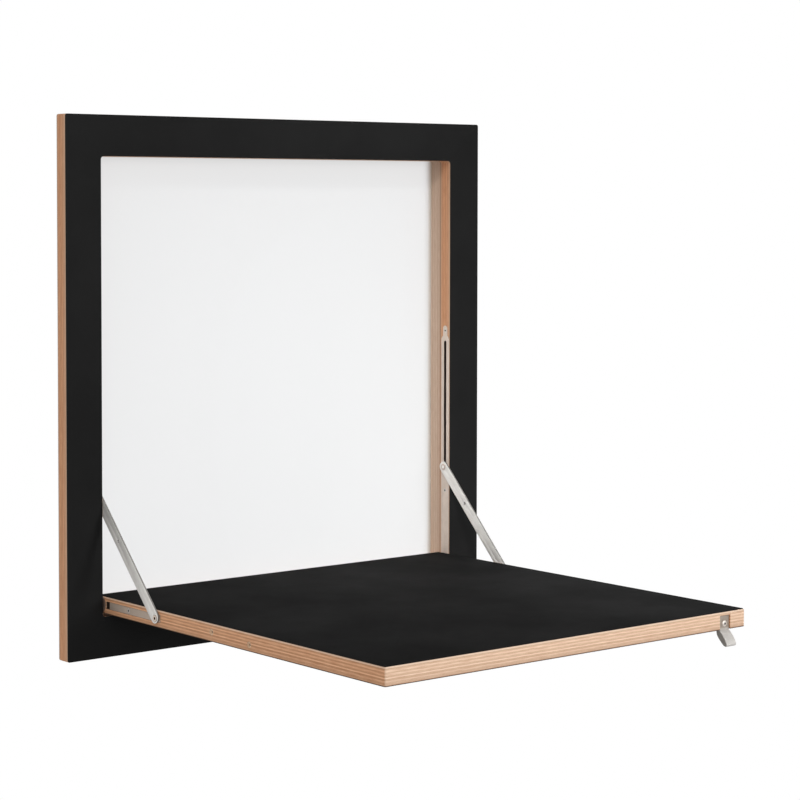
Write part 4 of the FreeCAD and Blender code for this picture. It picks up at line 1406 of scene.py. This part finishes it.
@dataclass
class Assembly:
    """A sub-assembly of the table, dressed in the shared finishes."""

    finishes: Finishes
    easing: float = 0.3 * MM

    def dress(self, piece: bpy.types.Object, material: bpy.types.Material, slot: str) -> bpy.types.Object:
        """Give a piece one material all over.

        Args:
            piece: The piece.
            material: Its material.
            slot: The record's slot; not used.

        Returns:
            The same piece.
        """
        for place in piece.material_slots:
            place.material = material
        if not piece.material_slots:
            piece.data.materials.append(material)
        return self.label(piece)

    def label(self, piece: bpy.types.Object) -> bpy.types.Object:
        """Report a dressed piece: its corners and its materials.

        Args:
            piece: The dressed piece.

        Returns:
            The same piece.
        """
        worn = ", ".join(place.material.name for place in piece.material_slots)
        log.info("%s: %d corners, %s", piece.name, len(piece.data.vertices), worn)
        return piece

    def dress_node(self, node: str, material: bpy.types.Material, slot: str) -> None:
        """Dress a CAD node that stays as it is."""
        self.dress(frame["nodes"][node], material, slot)

    def sheet(
        self, node: str, name: str, across: Across, level: float, material: bpy.types.Material
    ) -> None:
        """Ease the outer edge of a laminate sheet and dress it."""
        piece = eased_copy(node, name, [Easing(self.easing, on_level(across, level))])
        self.dress(piece, material, "black_laminate")

    def screws(self, node: str, name: str, facing: Facing, **style: float) -> None:
        """Set cross-recess screws, small countersunk ones unless the style says otherwise."""
        kind = ScrewStyle(self.finishes.zinc, self.finishes.recess, **style)
        self.label(fitted_screws(node, name, facing, kind))


@dataclass
class Boards(Assembly):
    """The square front board and the narrower frame behind it."""

    long_head_depth: float = 2.0 * MM
    long_shank_radius: float = 2.0 * MM

    def build(self) -> None:
        """Dress both boards, ease the laminates and set the screws that join the boards."""
        self.dress_node("front_board_core", self.finishes.board_ply, "birch_plywood")
        self.dress_node("rear_frame", self.finishes.rear_ply, "birch_plywood")
        face, back = "front_board_face_laminate", "front_board_back_laminate"
        black = self.finishes.upright_laminate
        self.sheet(face, "front_face_sheet", Across.DEPTH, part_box(face)[0].y, black)
        self.sheet(back, "front_back_sheet", Across.DEPTH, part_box(back)[1].y, black)
        self.screws(
            "rear_frame_screws",
            "rear_frame_cross_screws",
            Facing.TO_WALL,
            head_depth=self.long_head_depth,
            shank_radius=self.long_shank_radius,
        )


@dataclass
class HangingRails(Assembly):
    """The two folded rails that hang the frame on the wall."""

    fold_radius: float = 1.5 * MM
    wall_rail_folds: Profile = ((0.0, 7.5 * MM), (-4.4 * MM, 5.5 * MM))
    hanger_rail_folds: Profile = ((-0.2 * MM, 15.0 * MM), (-6.5 * MM, 13.0 * MM))

    def build(self) -> None:
        """Round the folds of both rails and set the screws of the frame's own rail."""
        for node, folds in (("wall_rail", self.wall_rail_folds), ("hanger_rail", self.hanger_rail_folds)):
            passes = [Easing(self.fold_radius, along_x(folds), 4), Easing(self.easing, segments=1)]
            piece = eased_copy(node, f"{node}_folded", passes)
            self.dress(piece, self.finishes.zinc, "zinc_plated_steel")
        self.screws("hanger_rail_screws", "hanger_cross_screws", Facing.TO_WALL)


@dataclass
class Leaf(Assembly):
    """The folding leaf, its bushes, its magnets and its finger pull."""

    pan_head_depth: float = 1.9 * MM
    cast_easing: float = 0.5 * MM
    # How far in from the cup's edge and how far below its face each step of its rim lies.
    cup_rim: Profile = ((0.0, 0.3 * MM), (0.12 * MM, 0.06 * MM), (0.4 * MM, 0.0), (1.1 * MM, 0.05 * MM))
    cup_wall: float = 1.4 * MM
    cup_depth: float = 1.3 * MM
    cup_corner: float = 0.1 * MM
    cup_floor_shares: tuple[float, ...] = (0.9, 0.5)

    def build(self) -> None:
        """Dress the leaf and build what is let into its edges."""
        self.dress_node("leaf_core", self.finishes.leaf_ply, "birch_plywood")
        top, under = "leaf_top_laminate", "leaf_under_laminate"
        black = self.finishes.level_laminate
        self.sheet(top, "leaf_top_sheet", Across.HEIGHT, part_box(top)[1].z, black)
        self.sheet(under, "leaf_under_sheet", Across.HEIGHT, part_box(under)[0].z, black)
        for side in Side:
            self.dress_node(f"hinge_bush_{side.value}", self.finishes.nylon, "nylon")
            self.build_magnets(side)
        self.build_pull()

    def build_magnets(self, side: Side) -> None:
        """Turn the two magnets with their steel cups.

        Args:
            side: The side of the leaf that they are let into.
        """
        node = f"holding_magnets_{side.value}"
        cup = solids_of(node)[0]
        radius, depth = cup.radius(side.outward), cup.depth(side.outward)
        inner, floor = radius - self.cup_wall, depth - self.cup_depth
        profile = [
            (radius, 0.0),
            *((radius - inset, depth - drop) for inset, drop in self.cup_rim),
            (inner, floor + self.cup_corner),
            *((inner * share, floor) for share in self.cup_floor_shares),
        ]
        piece = fitted_turning(node, f"magnet_cups_{side.value}", side.outward, profile)
        self.dress(piece, self.finishes.magnet_metal, "magnet_cup")

    def build_pull(self) -> None:
        """Ease the cast finger pull and set its pan-head screw."""
        pull = eased_copy("finger_pull", "finger_pull_casting", [Easing(self.cast_easing)])
        self.dress(pull, self.finishes.pull_metal, "satin_pull")
        self.screws(
            "finger_pull_screw",
            "pull_cross_screw",
            Facing.TO_ROOM,
            head_depth=self.pan_head_depth,
            domed=True,
        )


@dataclass
class Stay(Assembly):
    """One side's stay: slotted rail, slider, arm, rivet and the plate on the leaf."""

    side: Side = Side.RIGHT
    guide_radius: float = 4.2 * MM
    guide_thickness: float = 1.6 * MM
    guide_rounding: float = 0.2 * MM
    slider_shank: float = 2.5 * MM
    slider_head: float = 0.75 * MM
    # How far in from the head's edge each step of its dome lies, and its share of the head's height.
    slider_dome: Profile = ((0.1 * MM, 1.0), (0.0, 0.75), (0.3 * MM, 0.3), (1.1 * MM, 0.06))
    slider_flat_share: float = 0.45
    rivet_bore: float = 1.5 * MM
    rivet_shank: float = 2.4 * MM
    rivet_rim: float = 0.6 * MM
    rivet_head: float = 0.75 * MM
    # The rolled rim: how far out from the bore or in from the edge each step lies, and its height.
    rolled_inside: Profile = ((0.0, 0.5 * MM), (0.25 * MM, 0.15 * MM), (0.8 * MM, 0.0))
    rolled_outside: Profile = ((0.9 * MM, 0.02 * MM), (0.25 * MM, 0.2 * MM), (0.0, 0.45 * MM))
    rolled_undercut: float = 0.05 * MM
    # The head: how far in from the edge each step lies, and its share of the head's height.
    rivet_dome: Profile = ((0.1 * MM, 1.0), (0.0, 0.4), (0.4 * MM, 0.0))

    def build(self) -> None:
        """Build and dress every piece of this stay."""
        word = self.side.value
        for node, name, metal in (
            ("stay_rail", "slotted_rail", self.finishes.rail_steel),
            ("stay_arm", "flat_arm", self.finishes.arm_steel),
            ("stay_plate", "leaf_plate", self.finishes.plate_steel),
        ):
            piece = eased_copy(f"{node}_{word}", f"{name}_{word}", [Easing(self.easing)])
            self.dress(piece, metal, "stay_steel")
        self.dress_node(f"hinge_pin_{word}", self.finishes.plate_steel, "stay_steel")
        self.dress_node(f"slider_washer_{word}", self.finishes.nylon, "nylon")
        self.screws(f"stay_rail_screws_{word}", f"rail_cross_screws_{word}", self.side.inward)
        self.screws(f"stay_plate_screws_{word}", f"plate_cross_screws_{word}", self.side.outward)
        self.build_slider()
        self.build_rivet()

    def build_slider(self) -> None:
        """Turn the headed pin that runs in the slot, with a domed head over the arm."""
        node = f"slider_pin_{self.side.value}"
        solid = solids_of(node)[0]
        radius, depth = solid.radius(self.side.inward), solid.depth(self.side.inward)
        head = self.slider_head
        profile = [
            (self.guide_radius - self.guide_rounding, 0.0),
            (self.guide_radius, self.guide_rounding),
            (self.guide_radius, self.guide_thickness),
            (self.slider_shank, self.guide_thickness),
            (self.slider_shank, depth - head),
            *((radius - inset, depth - share * head) for inset, share in self.slider_dome),
            (radius * self.slider_flat_share, depth),
        ]
        piece = fitted_turning(node, f"slider_rivet_{self.side.value}", self.side.inward, profile)
        self.dress(piece, self.finishes.slider_metal, "stay_steel")

    def build_rivet(self) -> None:
        """Turn the hollow rivet at the arm's lower end, with its rolled rim."""
        node = f"stay_rivet_{self.side.value}"
        solid = solids_of(node)[0]
        radius, depth = solid.radius(self.side.inward), solid.depth(self.side.inward)
        bore, head = self.rivet_bore, self.rivet_head
        profile = [
            *((bore + outset, height) for outset, height in self.rolled_inside),
            *((radius - inset, height) for inset, height in self.rolled_outside),
            (radius - self.rolled_undercut, self.rivet_rim),
            (self.rivet_shank, self.rivet_rim),
            (self.rivet_shank, depth - head),
            *((radius - inset, depth - share * head) for inset, share in self.rivet_dome),
            (bore, depth),
        ]
        name = f"hollow_rivet_{self.side.value}"
        piece = fitted_turning(node, name, self.side.inward, profile, hollow=True)
        self.dress(piece, self.finishes.rivet_metal, "stay_steel")


@dataclass(frozen=True)
class Lamp:
    """A square lamp that looks at one spot."""

    name: str
    place: Point
    aim: Point
    power: float
    size: float
    spread: float = math.radians(180)

    def build(self) -> None:
        """Hang the lamp."""
        data = bpy.data.lights.new(self.name, "AREA")
        data.energy = self.power
        data.size = self.size
        data.spread = self.spread
        lamp = bpy.data.objects.new(self.name, data)
        bpy.context.scene.collection.objects.link(lamp)
        lamp.location = self.place
        lamp.rotation_mode = "QUATERNION"
        lamp.rotation_quaternion = (Vector(self.aim) - Vector(self.place)).to_track_quat("-Z", "Y")


@dataclass
class Studio:
    """Camera, lamps, white surroundings, floor and the strip of wall behind the frame."""

    place: Point = (-1898.42 * MM, -2546.31 * MM, -75.58 * MM)
    yaw: float = 0.66245
    pitch: float = math.radians(2.5)
    lens_px: float = 2276.23
    middle_px: tuple[float, float] = (317.485, 300.647)
    picture_px: float = 800.0
    sensor: float = 36.0
    ambient: float = 0.62
    lamps: tuple[Lamp, ...] = (
        Lamp("key_lamp", (1.5, -4.2, 0.5), TABLE_MIDDLE, 74.0, 1.1),
        Lamp("fill_lamp", (-2.5, -2.5, 1.0), TABLE_MIDDLE, 14.0, 2.2),
        Lamp("corner_lamp", (-1.0, -1.4, 1.2), (0.32, -0.04, -0.53), 0.7, 0.3, math.radians(27)),
    )
    floor_middle: Point = (0.0, -0.3, -1.35)
    floor_reach: float = 1.5
    floor_corners: int = 96
    floor_fade: tuple[float, float] = (0.35, 0.9)
    floor_paint: Colour = (0.93, 0.93, 0.93, 1.0)
    floor_roughness: float = 0.8
    wall_paint: Colour = (0.95, 0.955, 0.96, 1.0)
    # Painted shade: the wall's brown tint near the right reveal, and its width, stand for shade and the ply's
    # bounce. Painted light: the wall glows, brighter at its bottom, for camera and diffuse rays.
    wall_shade_tint: Colour = (0.59, 0.525, 0.44, 1.0)
    wall_levels: tuple[float, float] = (0.93, 0.817)
    wall_evening: tuple[float, float] = (0.75, 0.1)
    wall_roughness: float = 0.9
    wall_gap: float = 0.4 * MM
    wall_inset: float = 38 * MM
    corner_shade: float = 14 * MM
    shade_tint_width: float = 7 * MM

    def build(self) -> None:
        """Set up everything that isn't part of the table."""
        self.build_camera()
        self.build_world()
        for lamp in self.lamps:
            lamp.build()
        self.build_floor()
        self.build_wall()

    def build_camera(self) -> None:
        """Stand the camera where the photograph was taken from."""
        data = bpy.data.cameras.new("camera")
        data.sensor_width = self.sensor
        data.lens = self.lens_px / self.picture_px * self.sensor
        data.shift_x = 0.5 - self.middle_px[0] / self.picture_px
        data.shift_y = self.middle_px[1] / self.picture_px - 0.5
        camera = bpy.data.objects.new("camera", data)
        bpy.context.scene.collection.objects.link(camera)
        camera.location = self.place
        camera.rotation_euler = (math.radians(90) - self.pitch, 0, -self.yaw)
        bpy.context.scene.camera = camera

    def build_world(self) -> None:
        """Surround the table with white, dimmer as light than as background."""
        world = bpy.data.worlds.new("white_studio")
        world.use_nodes = True
        bpy.context.scene.world = world
        wiring = Wiring(world.node_tree)
        background = world.node_tree.nodes["Background"]
        wiring.feed(background.inputs["Strength"], self.shown_strength(wiring, self.ambient))
        background.inputs["Color"].default_value = (1, 1, 1, 1)

    @staticmethod
    def shown_strength(wiring: Wiring, otherwise: float) -> bpy.types.NodeSocket:
        """Work out a strength of 1 where the camera, gloss or glass sees the white.

        Args:
            wiring: The wiring of the world.
            otherwise: The strength as light.

        Returns:
            The strength.
        """
        path = wiring.node("ShaderNodeLightPath").outputs
        seen = wiring.math("MAXIMUM", path["Is Camera Ray"], path["Is Glossy Ray"])
        seen = wiring.math("MAXIMUM", seen, path["Is Transmission Ray"])
        return wiring.ramp(seen, 0.0, 1.0, otherwise, 1.0)

    def build_floor(self) -> None:
        """Lay a pale floor that fades into the white and can't be seen from below."""
        deselect_all()
        bpy.ops.mesh.primitive_circle_add(
            vertices=self.floor_corners,
            radius=self.floor_reach,
            fill_type="NGON",
            location=self.floor_middle,
        )
        floor = bpy.context.object
        floor.name = "pale_floor"
        material, wiring, shader, coordinates = new_material("pale_floor")
        shader.inputs["Base Color"].default_value = self.floor_paint
        shader.inputs["Roughness"].default_value = self.floor_roughness
        reach = wiring.vector_math("LENGTH", coordinates["Object"]).outputs["Value"]
        inner, outer = (share * self.floor_reach for share in self.floor_fade)
        fade = wiring.ramp(reach, inner, outer, 0.0, 1.0)
        white = wiring.node("ShaderNodeEmission", {"Strength": 1.0})
        path = wiring.node("ShaderNodeLightPath").outputs
        seen = wiring.math("MULTIPLY", fade, path["Is Camera Ray"])
        shown = wiring.node("ShaderNodeMixShader", {0: seen, 1: shader.outputs[0], 2: white.outputs[0]})
        both = self.one_sided(wiring, shown.outputs[0])
        wiring.feed(material.node_tree.nodes["Material Output"].inputs["Surface"], both)
        floor.data.materials.append(material)

    def build_wall(self) -> None:
        """Put a strip of pale wall behind the opening, which can't be seen from behind."""
        low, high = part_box("rear_frame")
        middle = (low + high) / 2
        deselect_all()
        bpy.ops.mesh.primitive_plane_add(size=1)
        wall = bpy.context.object
        wall.name = "pale_wall"
        width, height = (high[axis] - low[axis] - 2 * self.wall_inset for axis in (0, 2))
        size = Matrix.Diagonal((width, height, 1, 1))
        place = Matrix.Translation((middle.x, self.wall_gap, middle.z))
        wall.data.transform(place @ Matrix.Rotation(math.radians(90), 4, "X") @ size)
        material, wiring, shader, coordinates = new_material("pale_wall")
        shader.inputs["Roughness"].default_value = self.wall_roughness
        both = self.one_sided(wiring, self.evened(wiring, shader, coordinates))
        wiring.feed(material.node_tree.nodes["Material Output"].inputs["Surface"], both)
        wall.data.materials.append(material)

    def evened(self, wiring: Wiring, shader: bpy.types.Node, coordinates: Any) -> bpy.types.NodeSocket:
        """Show a pale surface partly by a painted glow, with painted shade, warmed by the ply, at its right.

        Args:
            wiring: The wiring of the material.
            shader: The surface as the lamps light it.
            coordinates: The outputs for the surface's own coordinates.

        Returns:
            The mixed surface.
        """
        low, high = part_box("rear_frame")
        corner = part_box("stay_rail_right")[0].x
        spot = wiring.node("ShaderNodeSeparateXYZ", {0: coordinates["Object"]}).outputs
        # Painted shade: the wall is tinted brown towards the right reveal.
        shade_tint = wiring.ramp(spot[0], corner - self.shade_tint_width, corner, 0.0, 1.0)
        paint = wiring.mix(shade_tint, self.wall_paint, self.wall_shade_tint)
        wiring.feed(shader.inputs["Base Color"], paint)
        level = wiring.ramp(spot[2], low.z, high.z, *self.wall_levels)
        # Painted light: the wall glows, brighter towards its bottom, and the glow reaches the table by
        # diffuse rays too.
        even = wiring.node("ShaderNodeEmission", {"Color": paint, "Strength": level})
        share = wiring.ramp(spot[0], corner - self.corner_shade, corner, *self.wall_evening)
        path = wiring.node("ShaderNodeLightPath").outputs
        looked_at = wiring.math("MAXIMUM", path["Is Camera Ray"], path["Is Diffuse Ray"])
        seen = wiring.math("MULTIPLY", share, looked_at)
        mixed = {0: seen, 1: shader.outputs[0], 2: even.outputs[0]}
        return wiring.node("ShaderNodeMixShader", mixed).outputs[0]

    @staticmethod
    def one_sided(wiring: Wiring, surface: bpy.types.NodeSocket) -> bpy.types.NodeSocket:
        """Make a surface clear from behind.

        Args:
            wiring: The wiring of the material.
            surface: The surface as it is from the front.

        Returns:
            The one-sided surface.
        """
        clear = wiring.node("ShaderNodeBsdfTransparent").outputs[0]
        behind = wiring.node("ShaderNodeNewGeometry").outputs["Backfacing"]
        return wiring.node("ShaderNodeMixShader", {0: behind, 1: surface, 2: clear}).outputs[0]


def main() -> None:
    """Build the studio and the table."""
    logging.basicConfig(level=logging.INFO, format="%(message)s")
    bpy.context.scene.view_settings.view_transform = "Standard"
    Studio().build()
    finishes = Finishes.build()
    Boards(finishes).build()
    HangingRails(finishes).build()
    Leaf(finishes).build()
    for side in Side:
        Stay(finishes, side=side).build()


if __name__ == "__main__":
    main()
